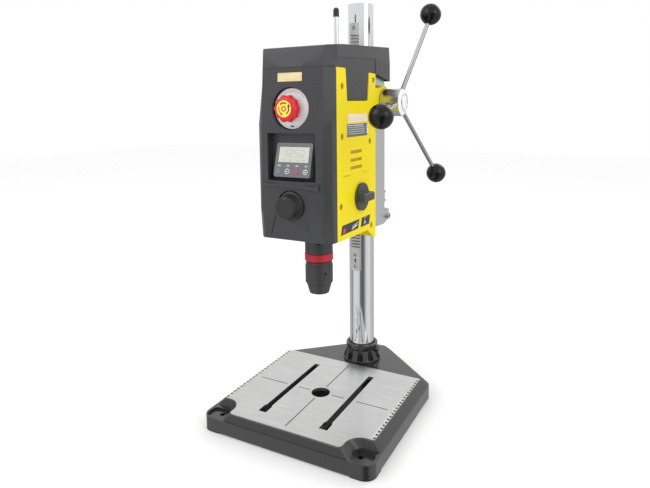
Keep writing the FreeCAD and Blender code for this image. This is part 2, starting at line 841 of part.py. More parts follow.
def head_block(inset, open_bottom):
    """The head's outer or inner form: three silhouettes, extruded and intersected."""
    inset = as_size(inset)
    half = D.head_half - inset
    front = D.head_front - inset
    rear = D.head_rear - inset
    bottom = D.head_bottom + inset
    low = 300
    sections = []
    for height, corner, widen, edge_back in ((low, 24, -2, 7), (400, 16, 0, 6), (545, 16, 0, 6),
                                             (D.head_top + 20, 46, -3, 15)):
        sections.append((height, mirrored([
            (22, -front + edge_back - 6),
            (D.front_edge + widen - inset * 0.4, -front + edge_back),
            (half, -front + corner),
            (half, rear),
        ])))
    plan = ruled(sections)
    brow = [
        (-front + 5, D.head_bottom + 22),
        (-front, D.head_bottom + 76),
        (-front, D.seam_top - 62),
        (-front + 4.5, D.seam_top),
        (-front + 13, D.head_top - 17 - inset, 12),
        (-front + 60, D.head_top - 12.4 - inset),
        (rear, D.head_top - inset),
        (rear, low),
    ]
    if open_bottom:
        chin = [(-front + 8, low)]
    else:
        chin = [(-front + 60, low), (-front + 60, bottom), (-front + 8, bottom, 4)]
    side = prism("YZ", -100, 100, brow + chin)
    ridge = D.head_top - 32
    face = prism("XZ", -200, 200, mirrored([
        (half, low),
        (half, ridge - inset * 0.4),
        (half - 2, D.head_top + 1 - inset),
    ]))
    return common(plan, side, face)


def cap_region(gap):
    """The side outline of the top cap's share of the shell, with its tongue between two legs."""
    seam = D.seam_top + gap
    return [
        (-130, seam),
        (-26.8 + gap, seam),
        (-22 + gap, 583 + gap, 5),
        (61 - gap, 584 + gap, 5),
        (65.6 - gap, 634 + gap, 1),
        (D.side_rear + 2, 633 + gap),
        (D.head_rear + 5, 620.5 + gap),
        (D.head_rear + 5, 720),
        (-130, 720),
    ]


def side_region():
    """The side outline of a side cover, up to a gap below the cap."""
    top = D.seam_top
    return [
        (-D.seam_front, 348),
        (61, 345),
        (88, 326, 2),
        (D.side_rear, 326),
        (D.side_rear, 632.6),
        (67.5, 633.7, 3),
        (62.2, 583, 3),
        (-23.2, 582, 3),
        (-28, top, 3),
        (-D.seam_front, top),
    ]


def display_turn():
    return Rotation(Vector(1, 0, 0), -D.display_tilt.value)


def make_shell():
    outer = head_block(0, False)
    inner = head_block(D.head_wall, False)
    doc.recompute()
    # Front cover, with wells for the dial, the display and the speed knob.
    wall = D.head_wall
    dial = prism("XZ", -100, -(D.dial_floor - wall), (0, D.dial_height, D.dial_radius + wall))
    window_low, window_high = 451, 530
    display = prism("XZ", -100, -72,
                    rectangle(-46 - wall, window_low - wall, 46 + wall, window_high + wall, 3))
    speed = prism("XZ", -100, -86, (0, D.speed_height, D.speed_radius + 2 + wall))
    wells = common(outer, fuse(dial, display, speed))
    shell = cut(outer, inner)
    front_zone = box((-100, -130, 300), (100, -D.seam_front, D.seam_top - D.cover_gap))
    front = common(fuse(shell, wells), front_zone)
    cuts = [
        prism("XZ", -130, -D.dial_floor, (0, D.dial_height, D.dial_radius)),
        prism("XZ", -130, -75, rectangle(-46, window_low, 46, window_high, 2)),
        prism("XZ", -130, -89.5, (0, D.speed_height, D.speed_radius + 2)),
        cylinder((0, -100, D.dial_height), D.stem_radius + 3, 60, "Y"),
        cylinder((0, -100, D.speed_height), D.pot_shaft + 1, 60, "Y"),
        place(box((0, 0, 0), (D.display_width + 0.4, D.display_thick + 8, D.display_tall + 0.4)),
              display_corner(0.2), display_turn()),
    ]
    node("front_cover", cut(front, *cuts))
    # Top cap, open around the column and the depth rod.
    cap_zone = prism("YZ", -100, 100, cap_region(D.cover_gap / 2))
    cap_open_inner = head_block(D.head_wall, True)
    cap_shell = cut(outer, cap_open_inner)
    clear = D.column_radius + 2
    cap = common(cap_shell, cap_zone)
    node("top_cap", cut(cap,
                        cylinder((0, D.column_back, 500), clear, 300),
                        box((-D.rack_half_width - 2, RACK_TIP - 2, 500),
                            (D.rack_half_width + 2, D.column_back, 800)),
                        cylinder((-D.rod_across, D.rod_back, 600), D.rod_radius + 1, 200)))
    return outer


def display_corner(gap):
    """The lower left front corner of the tilted display module."""
    tilt = D.display_tilt
    half = D.display_tall / 2
    low_y = -D.display_depth - sine(tilt) * half - gap * cosine(tilt)
    low_z = D.display_height - cosine(tilt) * half - gap
    return (-(D.display_width / 2) - gap, low_y, low_z)


def cover_screw_places():
    """Where each side cover's six screws go, as (along, up)."""
    return ((-41, 606), (-42, 523), (-48, 406), (87, 621), (71, 510), (77, 352))


def make_side_cover(side, label):
    """A side cover: a thin plate with a folded rear edge and the boss around the feed hub."""
    wall = D.head_wall
    outside = D.head_half
    inside = D.head_half - wall
    low, high = (inside, outside) if side > 0 else (-outside, -inside)
    plate = prism("YZ", low, high, side_region())

    def flip(x_near, x_far):
        return (x_near, x_far) if side > 0 else (-x_far, -x_near)

    near, far = flip(52, inside + 0.5)
    fold = box((near, D.side_rear - wall, 352), (far, D.side_rear, 632))
    near, far = flip(28, inside + 0.5)
    skirt = box((near, D.side_rear - wall, 326), (far, D.side_rear, 351.5))
    pieces = [plate, fold, skirt]
    cuts = []
    for along, up in cover_screw_places():
        start, end = flip(inside - 4, inside + 0.2)
        pieces.append(prism("YZ", start, end, (along, up, 6.5)))
        start, end = flip(outside - 2.5, outside + 1)
        cuts.append(prism("YZ", start, end, (along, up, 5.5)))
        start, end = flip(inside - 8, outside + 1)
        cuts.append(prism("YZ", start, end, (along, up, 2.2)))
    for low_z in (492, 478, 464.5):
        start, end = flip(inside - 1, outside + 1)
        cuts.append(prism("YZ", start, end, rectangle(-11, low_z, 36, low_z + 5.5, 1)))
    if side > 0:
        hub_inner = D.hub_radius + 0.6
        centre = (D.feed_back, D.feed_height)
        start = D.carrier_half + 0.3
        pieces.append(prism("YZ", start, outside, (*centre, D.boss_radius)))
        pieces.append(prism("YZ", inside - 8, outside, rectangle(
            D.side_rear - wall, D.feed_height - 27, D.feed_back - 15, D.feed_height + 27, 2)))
        cuts.append(prism("YZ", start + 6, outside + 1, (*centre, hub_inner)))
        cuts.append(prism("YZ", start - 1, outside + 1, (*centre, D.feed_shaft_radius + 2)))
        cuts.append(prism("YZ", inside - 1, outside + 1,
                          (D.selector_along, D.selector_height, D.selector_shaft + D.run_gap)))
    doc.recompute()
    node(label, cut(fuse(*pieces), *cuts))


def make_cover_screws():
    screws = []
    floor = D.head_half - 2.5
    for side in SIDES:
        for along, up in cover_screw_places():
            axis = Rotation(Vector(0, 1, 0), 90 * side)
            head = cylinder((floor * side, along, up), 4, 1.8, axis)
            shank = cylinder(((floor - 8) * side, along, up), 2, 8.5, axis)
            recess = cylinder(((floor + 0.8) * side, along, up), 1.3, 2, axis)
            screws.append(cut(fuse(head, shank), recess))
    node("cover_screws", group(*screws))


def make_bottom_cover():
    """The plate that closes the head's underside around the spindle."""
    plate = box((-66, -D.seam_front + 0.3, 346.5), (66, 60, 350))
    node("bottom_cover", cut(plate, cylinder((0, 0, 340), D.spindle_radius + 5, 20)))


def make_labels(outer):
    """Plain plates: one on the front, and the data plates on the right-hand cover."""
    name = prism("XZ", -100, -D.head_front + 10, rectangle(-23, 614, 23, 628, 1))
    raised = place(group(outer), (0, -D.plate_sticker, 0))
    node("name_plate", cut(common(name, raised), outer))
    outside = D.head_half
    data = prism("YZ", outside, outside + 0.3, rectangle(-24, 521, 58, 543, 1))
    notice = prism("YZ", outside, outside + 0.25, rectangle(-20, 545.5, 56, 560, 1))
    first = prism("YZ", outside, outside + 0.3, [(-50, 357), (18, 357), (23, 373), (-45, 373)])
    second = prism("YZ", outside, outside + 0.3, [(29, 356.5), (66, 356.5), (70, 373), (34, 373)])
    node("side_labels", group(data, notice, first, second))


# ---------------------------------------------------------------------------------------------------
# Carrier, clamp and depth rod
# ---------------------------------------------------------------------------------------------------

def make_carrier():
    """The aluminium casting that slides on the column and carries everything in the head."""
    half = D.carrier_half
    block = prism("XY", D.carrier_bottom, D.carrier_top,
                  rectangle(-half, D.carrier_front, half, D.carrier_rear, 6))
    flange = box((-D.flange_half, D.carrier_front, D.carrier_bottom),
                 (D.flange_half, D.carrier_front + D.flange_thick, D.carrier_top - 4))
    ear = prism("YZ", -half, half, [
        (D.carrier_front + 30, D.carrier_bottom + 4),
        (D.carrier_front + 30, D.clamp_bottom + 4),
        (D.carrier_rear - 8, D.clamp_bottom),
        (D.clamp_rear, D.clamp_bottom + 8, 3),
        (D.clamp_rear, D.carrier_bottom - 2, 3),
        (D.carrier_rear - 2, D.carrier_bottom + 4),
    ])
    lug = box((half - 12, D.carrier_rear - 1, 372), (half - 2, D.carrier_rear + 7, 396))
    crown = box((-62, D.carrier_front, D.carrier_top - 7), (62, D.head_rear - 9, D.carrier_top + 14))
    bore = D.column_radius + D.slide_gap
    slot = D.rack_half_width + 0.3
    cuts = [
        cylinder((0, D.column_back, 300), bore, 400),
        box((-slot, RACK_TIP - 0.8, 300), (slot, D.column_back, 700)),
        cylinder((-D.pinion_half - 1.5, D.feed_back, D.feed_height), PINION_RADIUS + 4,
                 D.pinion_half * 2 + 3, "X"),
        cylinder((-half - 1, D.feed_back, D.feed_height), D.feed_shaft_radius + D.run_gap,
                 half * 2 + 2, "X"),
        cylinder((-D.rod_across, D.rod_back, 340), D.rod_radius + D.rod_gap, 300),
        box((-1.5, D.column_back, D.clamp_bottom - 1), (1.5, D.clamp_rear + 1, D.carrier_bottom + 8)),
        cylinder((-half - 1, D.clamp_rear - 12, 341), 4.1, half * 2 + 2, "X"),
        box((half - 7, D.carrier_rear + 2, 377), (half, D.carrier_rear + 8, 391)),
        box((-half + 6, D.carrier_front + D.flange_thick, D.carrier_bottom + 8),
            (half - 6, D.column_back - D.column_radius - 12, D.feed_height - 34)),
    ]
    rod_screw = cylinder((-half - 1, D.rod_back, 600), 2.5, half - D.rod_across + 2, "X")
    doc.recompute()
    node("head_carrier", cut(fuse(block, flange, ear, lug, crown), *cuts, rod_screw))
    bolt_y = D.clamp_rear - 12
    bolt = cut(fuse(cylinder((half, bolt_y, 341), 6.5, 6, "X"),
                    cylinder((-half - 8, bolt_y, 341), 4, half * 2 + 9, "X")),
               cylinder((half + 2, bolt_y, 341), 3, 5, "X"))
    nut = cut(prism("YZ", -half - 6.5, -half, hexagon(bolt_y, 341, 7.5)),
              cylinder((-half - 7, bolt_y, 341), 4, 8, "X"))
    node("clamp_bolt", group(bolt, nut))


def hexagon(x, y, radius):
    points = []
    for step in range(6):
        points.append((x + cosine(60 * step) * radius, y + sine(60 * step) * radius))
    return points


def make_depth_rod():
    x, y = -D.rod_across, D.rod_back
    rod = bevel_edges(cylinder((x, y, D.rod_bottom), D.rod_radius, D.rod_top - D.rod_bottom + 8), 0.8,
                      lambda edge: edge.BoundBox.ZLength < 0.01)
    node("depth_rod", rod)
    cap = fuse(cylinder((x, y, D.rod_top), D.rod_radius + 1.5, 12),
               sphere((x, y, D.rod_top + 12), D.rod_radius + 1.5))
    node("depth_rod_cap", cut(cap, cylinder((x, y, D.rod_top - 1), D.rod_radius, 9)))
    # Thumb screw that locks the rod, on the left of the carrier.
    half = D.carrier_half
    start = -half - 10
    stem = cylinder((start, y, 600), 2.45, -D.rod_across - D.rod_radius - 0.1 - start, "X")
    grip = prism("YZ", start - 10, start, star(y, 600, 9, 7.6, 8))
    node("rod_lock_screw", fuse(stem, grip))


def star(x, y, radius, waist, lobes):
    """An outline that alternates between two radii, for grips."""
    points = []
    for step in range(lobes * 2):
        reach = radius if step % 2 == 0 else waist
        angle = 180 * step / lobes
        points.append((x + cosine(angle) * reach, y + sine(angle) * reach))
    return points


# ---------------------------------------------------------------------------------------------------
# Feed handle
# ---------------------------------------------------------------------------------------------------

def spoke_turn(index):
    """Turns local Z onto a spoke: out along its own angle, tilted away from the head."""
    angle = D.spoke_first.value + 120 * index
    return Rotation(Vector(1, 0, 0), angle - 90) * Rotation(Vector(0, 1, 0), D.spoke_tilt.value)


def along_spoke(index, distance):
    angle = D.spoke_first + 120 * index
    reach = cosine(D.spoke_tilt) * distance
    return (D.spoke_plane + sine(D.spoke_tilt) * distance,
            D.feed_back + cosine(angle) * reach,
            D.feed_height + sine(angle) * reach)


def make_feed():
    y, z = D.feed_back, D.feed_height
    half = D.pinion_half
    left = -D.carrier_half - 4
    shaft = cylinder((left, y, z), D.feed_shaft_radius, D.hub_end - 6 - left, "X")
    pinion = gear(D.pinion_teeth, D.rack_module, half * 2, 0, (-half, y, z), PLANE_TURN["YZ"])
    node("feed_shaft", fuse(shaft, pinion))
    ring = cut(cylinder((left, y, z), D.feed_shaft_radius + 4, 3.5, "X"),
               cylinder((left - 1, y, z), D.feed_shaft_radius, 6, "X"))
    node("shaft_ring", ring)
    hub = fuse(cylinder((D.hub_start, y, z), D.hub_radius, D.hub_end - D.hub_start, "X"),
               cylinder((D.carrier_half + 8, y, z), D.hub_radius - 4, D.hub_start - D.carrier_half - 8, "X"))
    holes = [cylinder((D.carrier_half, y, z), D.feed_shaft_radius, D.hub_end - 6 - D.carrier_half, "X")]
    for index in range(3):
        holes.append(cylinder(along_spoke(index, 14), D.spoke_radius, 40, spoke_turn(index)))
    node("feed_hub", cut(hub, *holes))
    cap = common(cylinder((D.hub_end, y, z), D.hub_radius - 1, 6, "X"),
                 sphere((D.hub_end - 52, y, z), 58))
    node("hub_cap", cap)
    spokes = []
    balls = []
    for index in range(3):
        turn = spoke_turn(index)
        spokes.append(cylinder(along_spoke(index, 14), D.spoke_radius, D.spoke_length - 18, turn))
        collar = cone(along_spoke(index, D.spoke_length - D.ball_radius - 1.5), 6.5, 9, 6, turn)
        ball = fuse(sphere(along_spoke(index, D.spoke_length), D.ball_radius), collar)
        bore = cylinder(along_spoke(index, D.spoke_length - 30), D.spoke_radius, 26, turn)
        balls.append(cut(ball, bore))
    node("feed_spokes", group(*spokes))
    node("ball_knobs", group(*balls))


# ---------------------------------------------------------------------------------------------------
# Spindle and keyless chuck
# ---------------------------------------------------------------------------------------------------

CONE_TOP = D.core_bottom + 13
JAW_TURN = [Rotation(Vector(0, 0, 1), 120 * i) * Rotation(Vector(0, 1, 0), D.jaw_tilt.value)
            for i in range(3)]


def jaw_point(index, distance):
    """A point on a jaw's slanted axis, measured up from the chuck's nose."""
    reach = D.jaw_start + sine(D.jaw_tilt) * distance
    return (cosine(120 * index) * reach, sine(120 * index) * reach,
            D.core_bottom + 1 + cosine(D.jaw_tilt) * distance)


def spanner_hole(around, radius, height):
    """A blind hole drilled square to a turned face, at an angle from the front."""
    outward = Rotation(Vector(0, 0, 1), Vector(sine(around).value, -cosine(around).value, 0))
    reach = radius - 3
    return cylinder((sine(around) * reach, -(cosine(around) * reach), height), 2.3, 6, outward)


def make_chuck():
    core = Piece("chuck_core")
    bore = D.chuck_bore
    core.revolve([
        (bore, D.core_bottom),
        (D.core_radius - 5, D.core_bottom),
        (D.core_radius, CONE_TOP),
        (D.core_radius, D.ring_bottom - 0.5),
        (D.core_radius + 2, D.ring_bottom),
        (D.core_radius + 2, D.collar_bottom),
        (D.collar_radius, D.collar_bottom + 0.3),
        (D.collar_radius, D.collar_top - 3),
        (D.collar_radius - 2.5, D.collar_top),
        (D.nose_radius, D.collar_top),
        (D.nose_radius, D.nose_bottom),
        (bore, D.nose_bottom - 4),
    ])
    tunnels = []
    for index in range(3):
        start = jaw_point(index, -12)
        tunnels.append(cylinder(start, D.jaw_radius + D.jaw_gap, D.jaw_length + 13, JAW_TURN[index]))
    doc.recompute()
    node("chuck_body", cut(core.body, *tunnels, spanner_hole(29, D.collar_radius, D.collar_top - 14)))

    ring = Piece("chuck_ring")
    ring.revolve([
        (D.core_radius + 2, D.ring_bottom + 0.5),
        (D.ring_radius - 1, D.ring_bottom + 0.5),
        (D.ring_radius, D.ring_bottom + 1.5),
        (D.ring_radius, D.collar_bottom - 1),
        (D.ring_radius - 1, D.collar_bottom),
        (D.core_radius + 2, D.collar_bottom),
    ])
    node("chuck_ring", ring)

    sleeve = Piece("sleeve_core")
    gap = D.sleeve_gap
    sleeve.revolve([
        (D.core_radius - 5 + gap, D.core_bottom),
        (D.sleeve_tip - 2, D.sleeve_bottom),
        (D.sleeve_tip, D.sleeve_bottom + 0.8),
        (D.sleeve_radius - 2.6, D.core_bottom + 15),
        (D.sleeve_radius - 2.8, D.core_bottom + 17),
        (D.sleeve_radius, D.core_bottom + 18.5, 1),
        (D.sleeve_radius, D.ring_bottom - 8),
        (D.sleeve_radius - 1.2, D.ring_bottom - 6.5),
        (D.sleeve_radius - 1.2, D.ring_bottom - 0.8),
        (D.core_radius + gap, D.ring_bottom - 0.8),
        (D.core_radius + gap, CONE_TOP),
    ])
    doc.recompute()
    node("chuck_sleeve", cut(sleeve.body, spanner_hole(56, D.sleeve_radius, D.core_bottom + 38)))

    for index in range(3):
        blank = cylinder(jaw_point(index, 0), D.jaw_radius, D.jaw_length, JAW_TURN[index])
        turn = Rotation(Vector(0, 0, 1), 120 * index)
        inner = place(box((0, 0, 0), (20, 20, 60)),
                      (cosine(120 * index) * (bore - 20) + sine(120 * index) * 10,
                       sine(120 * index) * (bore - 20) - cosine(120 * index) * 10,
                       D.core_bottom - 5), turn)
        nose = box((-60, -60, D.core_bottom - 30), (60, 60, D.core_bottom + 0.6))
        node(f"chuck_jaw_{index + 1}", cut(blank, inner, nose))


def make_spindle():
    piece = Piece("spindle")
    r = D.spindle_radius
    piece.revolve([
        (0, D.nose_bottom),
        (D.nose_radius, D.nose_bottom),
        (D.nose_radius, D.collar_top),
        (r + 3, D.collar_top),
        (r + 3, D.collar_top + 5),
        (r, D.collar_top + 5),
        (r, D.box_top + 4),
        (0, D.box_top + 4),
    ])
    node("spindle", piece)
    mesh = math.degrees(math.atan2(LAY_Y.value, LAY_X.value))
    wheel = gear(D.spindle_teeth, D.spindle_module, 12, mesh, (0, 0, SPINDLE_GEAR_Z))
    node("spindle_gear", cut(wheel, cylinder((0, 0, SPINDLE_GEAR_Z - 1), r, 14)))
    bearings = []
    for low in (D.box_bottom, D.box_top - D.bearing_width):
        bearings.append(cut(cylinder((0, 0, low), D.bearing_radius, D.bearing_width),
                            cylinder((0, 0, low - 1), r + D.bearing_gap, D.bearing_width + 2)))
    node("spindle_bearings", group(*bearings))


# ---------------------------------------------------------------------------------------------------
# Gearbox and motor
# ---------------------------------------------------------------------------------------------------

SPINDLE_GEAR_Z = D.box_bottom + 28
LAY_GEAR_Z = D.box_bottom + 53
SPINDLE_REACH = (D.spindle_teeth + D.lay_small_teeth) * D.spindle_module / 2
MOTOR_REACH = (D.lay_large_teeth + D.motor_teeth) * D.motor_module / 2
LAY_Y = ((SPINDLE_REACH * SPINDLE_REACH - MOTOR_REACH * MOTOR_REACH + D.motor_back * D.motor_back)
         / (D.motor_back * 2))
LAY_X = root(SPINDLE_REACH * SPINDLE_REACH - LAY_Y * LAY_Y)


def make_gearbox():
    half, wall = D.box_half, D.box_wall
    low, high = D.box_bottom, D.box_top
    shell = cut(prism("XY", low, high, rectangle(-half, -D.box_front, half, D.carrier_front, 8)),
                prism("XY", low + wall, high + 1, rectangle(
                    wall - half, wall - D.box_front, half - wall, D.carrier_front - wall, 4)))
    bosses = [cylinder((0, 0, low), D.bearing_radius + 5, D.bearing_width),
              cylinder((LAY_X, LAY_Y, low), D.lay_radius + 5, 14)]
    bores = [cylinder((0, 0, low - 1), D.bearing_radius, D.bearing_width + 2),
             cylinder((LAY_X, LAY_Y, low + 3), D.lay_radius + D.run_gap, 20),
             cylinder((half - wall - 1, D.selector_along, D.selector_height),
                      D.selector_shaft + 1, wall + 2, "X")]
    node("gearbox_housing", cut(fuse(shell, *bosses), *bores))
    plate = prism("XY", high, high + D.box_plate, rectangle(
        -half, -D.box_front, half, D.carrier_front, 8))
    bosses = [cylinder((0, 0, high - D.bearing_width), D.bearing_radius + 4, D.bearing_width + 1),
              cylinder((LAY_X, LAY_Y, high - 10), D.lay_radius + 4, 11)]
    bores = [cylinder((0, 0, high - D.bearing_width - 1), D.bearing_radius, D.bearing_width + 1),
             cylinder((LAY_X, LAY_Y, high - 12), D.lay_radius + D.run_gap, 16),
             cylinder((0, 0, high - 1), D.spindle_radius + 1, 10),
             cylinder((0, D.motor_back, high - 1), D.motor_shaft + D.run_gap, 10)]
    node("gearbox_plate", cut(fuse(plate, *bosses), *bores))


def make_layshaft():
    low = D.box_bottom
    shaft = cylinder((LAY_X, LAY_Y, low + 3.5), D.lay_radius, D.box_top - low)
    to_spindle = math.degrees(math.atan2(-LAY_Y.value, -LAY_X.value))
    to_motor = math.degrees(math.atan2(D.motor_back.value - LAY_Y.value, -LAY_X.value))
    half_tooth = 180 / D.lay_small_teeth.value
    small = gear(D.lay_small_teeth, D.spindle_module, 16, to_spindle + half_tooth,
                 (LAY_X, LAY_Y, SPINDLE_GEAR_Z - 2))
    large = gear(D.lay_large_teeth, D.motor_module, 10, to_motor, (LAY_X, LAY_Y, LAY_GEAR_Z))
    node("layshaft", fuse(shaft, small, large))
    return to_motor


def make_motor(to_motor):
    y = D.motor_back
    low = D.box_top + D.box_plate
    top = low + D.motor_length
    can = cut(cylinder((0, y, low), D.motor_radius, D.motor_length),
              cylinder((0, y, low - 1), D.motor_radius - D.motor_wall,
                       D.motor_length - D.motor_wall + 1),
              cylinder((0, y, top - 10), D.motor_shaft + D.run_gap, 20))
    windows = []
    for angle in range(0, 360, 60):
        turn = Rotation(Vector(0, 0, 1), angle) * Rotation(Vector(0, 1, 0), 90)
        windows.append(cylinder((0, y, top - 18), 5, D.motor_radius + 5, turn))
        windows.append(cylinder((0, y, low + 12), 6, D.motor_radius + 5, turn))
    node("motor_housing", cut(can, fuse(*windows)))
    half_tooth = 180 / D.motor_teeth.value
    shaft = cylinder((0, y, LAY_GEAR_Z - 4), D.motor_shaft, top - 0.5 - LAY_GEAR_Z + 4)
    pinion = gear(D.motor_teeth, D.motor_module, 14, to_motor + 180 + half_tooth,
                  (0, y, LAY_GEAR_Z - 2))
    rotor = cylinder((0, y, low + 26), D.rotor_radius, 80)
    commutator = cylinder((0, y, low + 110), 13, 16)
    node("armature", fuse(shaft, pinion, rotor, commutator))
    blades = [cylinder((0, y, low + 5), 10, 13), cylinder((0, y, low + 5), D.fan_radius, 2)]
    for step in range(9):
        turn = Rotation(Vector(0, 0, 1), 40 * step)
        blades.append(place(box((0, 0, 0), (D.fan_radius - 4, 1.6, 11)), (0, y, low + 6), turn))
    node("motor_fan", cut(fuse(*blades), cylinder((0, y, low), D.motor_shaft, 30)))


# ---------------------------------------------------------------------------------------------------
# Controls
# ---------------------------------------------------------------------------------------------------

def make_stop_button():
    z = D.dial_height
    floor = -D.dial_floor
    plate = prism("XZ", floor - 1, floor, (0, z, D.dial_radius - 0.4), (0, z, D.stem_radius + 4))
    node("dial_plate", plate)
    face = -D.stop_face
    stem = cylinder((0, face + 10, z), D.stem_radius, 48, "Y")
    node("stop_stem", stem)
    lobes = prism("XZ", face + 2, face + 16, star(0, z, D.stop_radius, D.stop_radius - 2.4, 8))
    disc = cylinder((0, face, z), D.stop_radius - 5, 5, "Y")
    skirt = cone((0, face + 14, z), D.stop_radius - 1, D.stop_radius - 5, 4, "Y")
    bore = cylinder((0, face + 10, z), D.stem_radius + D.run_gap, 30, "Y")
    node("stop_button", cut(fuse(lobes, disc, skirt), bore))
    body = cut(box((-21, floor + D.head_wall, z - 21), (21, floor + 40, z + 21)),
               cylinder((0, floor, z), D.stem_radius + D.run_gap, 38, "Y"))
    node("stop_switch", body)


def make_display():
    corner = display_corner(0)
    turn = display_turn()
    wide, tall, thick = D.display_width, D.display_tall, D.display_thick
    middle = wide / 2
    screen_low = tall - D.screen_tall - 7
    keys_up = 9.5
    body = prism("XZ", 0, thick, rectangle(0, 0, wide, tall, 4))
    window_hole = box((middle - D.screen_width / 2, -1, screen_low),
                      (middle + D.screen_width / 2, 1.6, screen_low + D.screen_tall))
    key_x = (9, 26.3, 43.7, 61)
    holes = [cylinder((x, -1, keys_up), D.key_radius + D.key_gap, 3.4, "Y") for x in key_x]
    node("display_bezel", place(cut(body, window_hole, *holes), corner, turn))
    window = box((middle - D.screen_width / 2 + 0.1, 0.3, screen_low + 0.1),
                 (middle + D.screen_width / 2 - 0.1, 1.6, screen_low + D.screen_tall - 0.1))
    node("display_window", place(group(window), corner, turn))
    board = box((4, thick, 4), (wide - 4, thick + 1.6, tall - 4))
    chips = [box((x, thick + 1.6, 20), (x + 10, thick + 4, 30)) for x in (12, 30, 48)]
    node("display_board", place(fuse(board, *chips), corner, turn))
    for index, x in enumerate(key_x):
        key = cylinder((x, -0.5, keys_up), D.key_radius, 1.9, "Y")
        node(f"display_key_{index + 1}", place(group(key), corner, turn))


def make_speed_knob():
    z = D.speed_height
    face = -D.speed_face
    skirt = cylinder((0, -94, z), D.speed_radius, 4, "Y")
    grip = cone((0, face + 1.2, z), D.speed_grip, D.speed_grip + 2.2, 17.8, "Y")
    nose = cone((0, face, z), D.speed_grip - 1.2, D.speed_grip, 1.2, "Y")
    shaft = cylinder((0, -92, z), D.pot_shaft, 22, "Y")
    flutes = []
    for step in range(18):
        angle = 20 * step
        reach = D.speed_grip + 2.6
        flutes.append(cylinder((cosine(angle) * reach, face + 3, z + sine(angle) * reach), 1.3, 15, "Y"))
    node("speed_knob", cut(fuse(skirt, grip, nose, shaft), *flutes))
    pot = cut(cylinder((0, -86, z), D.pot_radius, 18, "Y"),
              cylinder((0, -87, z), D.pot_shaft + D.run_gap, 18, "Y"))
    node("speed_potentiometer", pot)


def make_selector():
    y, z = D.selector_along, D.selector_height
    start = D.head_half + 0.3
    disc = cylinder((start, y, z), D.selector_radius, 5, "X")
    grip = box((start + 4, y - D.selector_radius + 3, z - 7.5),
               (start + 17.5, y + D.selector_radius - 1, z + 7.5))
    doc.recompute()
    rounded = round_edges(grip, 2.5, lambda edge: edge.CenterOfMass.x > D.head_half.value + 6)
    node("gear_selector", fuse(disc, rounded))
    shaft = cylinder((D.box_half + 0.5, y, z), D.selector_shaft, start - D.box_half - 0.5, "X")
    pin = cylinder((D.box_half - 4, y + 3, z), 1.5, 5, "X")
    node("selector_shaft", fuse(shaft, pin))


def make_gland():
    """The rubber sleeve where the supply lead enters the left cover."""
    x, z = -60, 392
    rear = D.side_rear
    sleeve = fuse(cylinder((x, rear, z), 6.5, 3, "Y"), cone((x, rear + 3, z), 5.5, 4.5, 20, "Y"))
    node("cable_gland", cut(sleeve, cylinder((x, rear - 1, z), 3.5, 40, "Y")))


# ---------------------------------------------------------------------------------------------------
# Build, check and write
# ---------------------------------------------------------------------------------------------------

def check_and_write():
    doc.recompute()
    broken = [thing.Label for thing in doc.Objects if {"Invalid", "Error"} & set(thing.State)]
    if broken:
        raise RuntimeError(f"failed features: {broken}")
    os.makedirs("parts", exist_ok=True)
    for thing in nodes:
        shape = thing.Shape
        if shape.isNull() or not shape.isValid() or not shape.Solids:
            raise RuntimeError(f"{thing.Label} has no valid solid")
    for thing in nodes:
        thing.Shape.exportStep(f"parts/{thing.Label}.step")
        box_ = thing.Shape.BoundBox
        print(f"{thing.Label:20s} solids {len(thing.Shape.Solids)}  volume {thing.Shape.Volume:10.0f}  "
              f"x {box_.XMin:7.1f} {box_.XMax:7.1f}  y {box_.YMin:7.1f} {box_.YMax:7.1f}  "
              f"z {box_.ZMin:7.1f} {box_.ZMax:7.1f}")
    print(len(nodes), "nodes")


make_base()
make_feet()
make_plate()
make_scales()
make_plate_screws()
make_socket()
make_column()
make_rack()
head_form = make_shell()
make_side_cover(1, "side_cover_right")
make_side_cover(-1, "side_cover_left")
make_cover_screws()
make_bottom_cover()
make_labels(head_form)
make_carrier()
make_depth_rod()
make_feed()
make_chuck()
make_spindle()
make_gearbox()
make_motor(make_layshaft())
make_stop_button()
make_display()
make_speed_knob()
make_selector()
make_gland()
check_and_write()
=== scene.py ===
import json
import math
import random

import bmesh
import bpy
from mathutils import Matrix, Vector

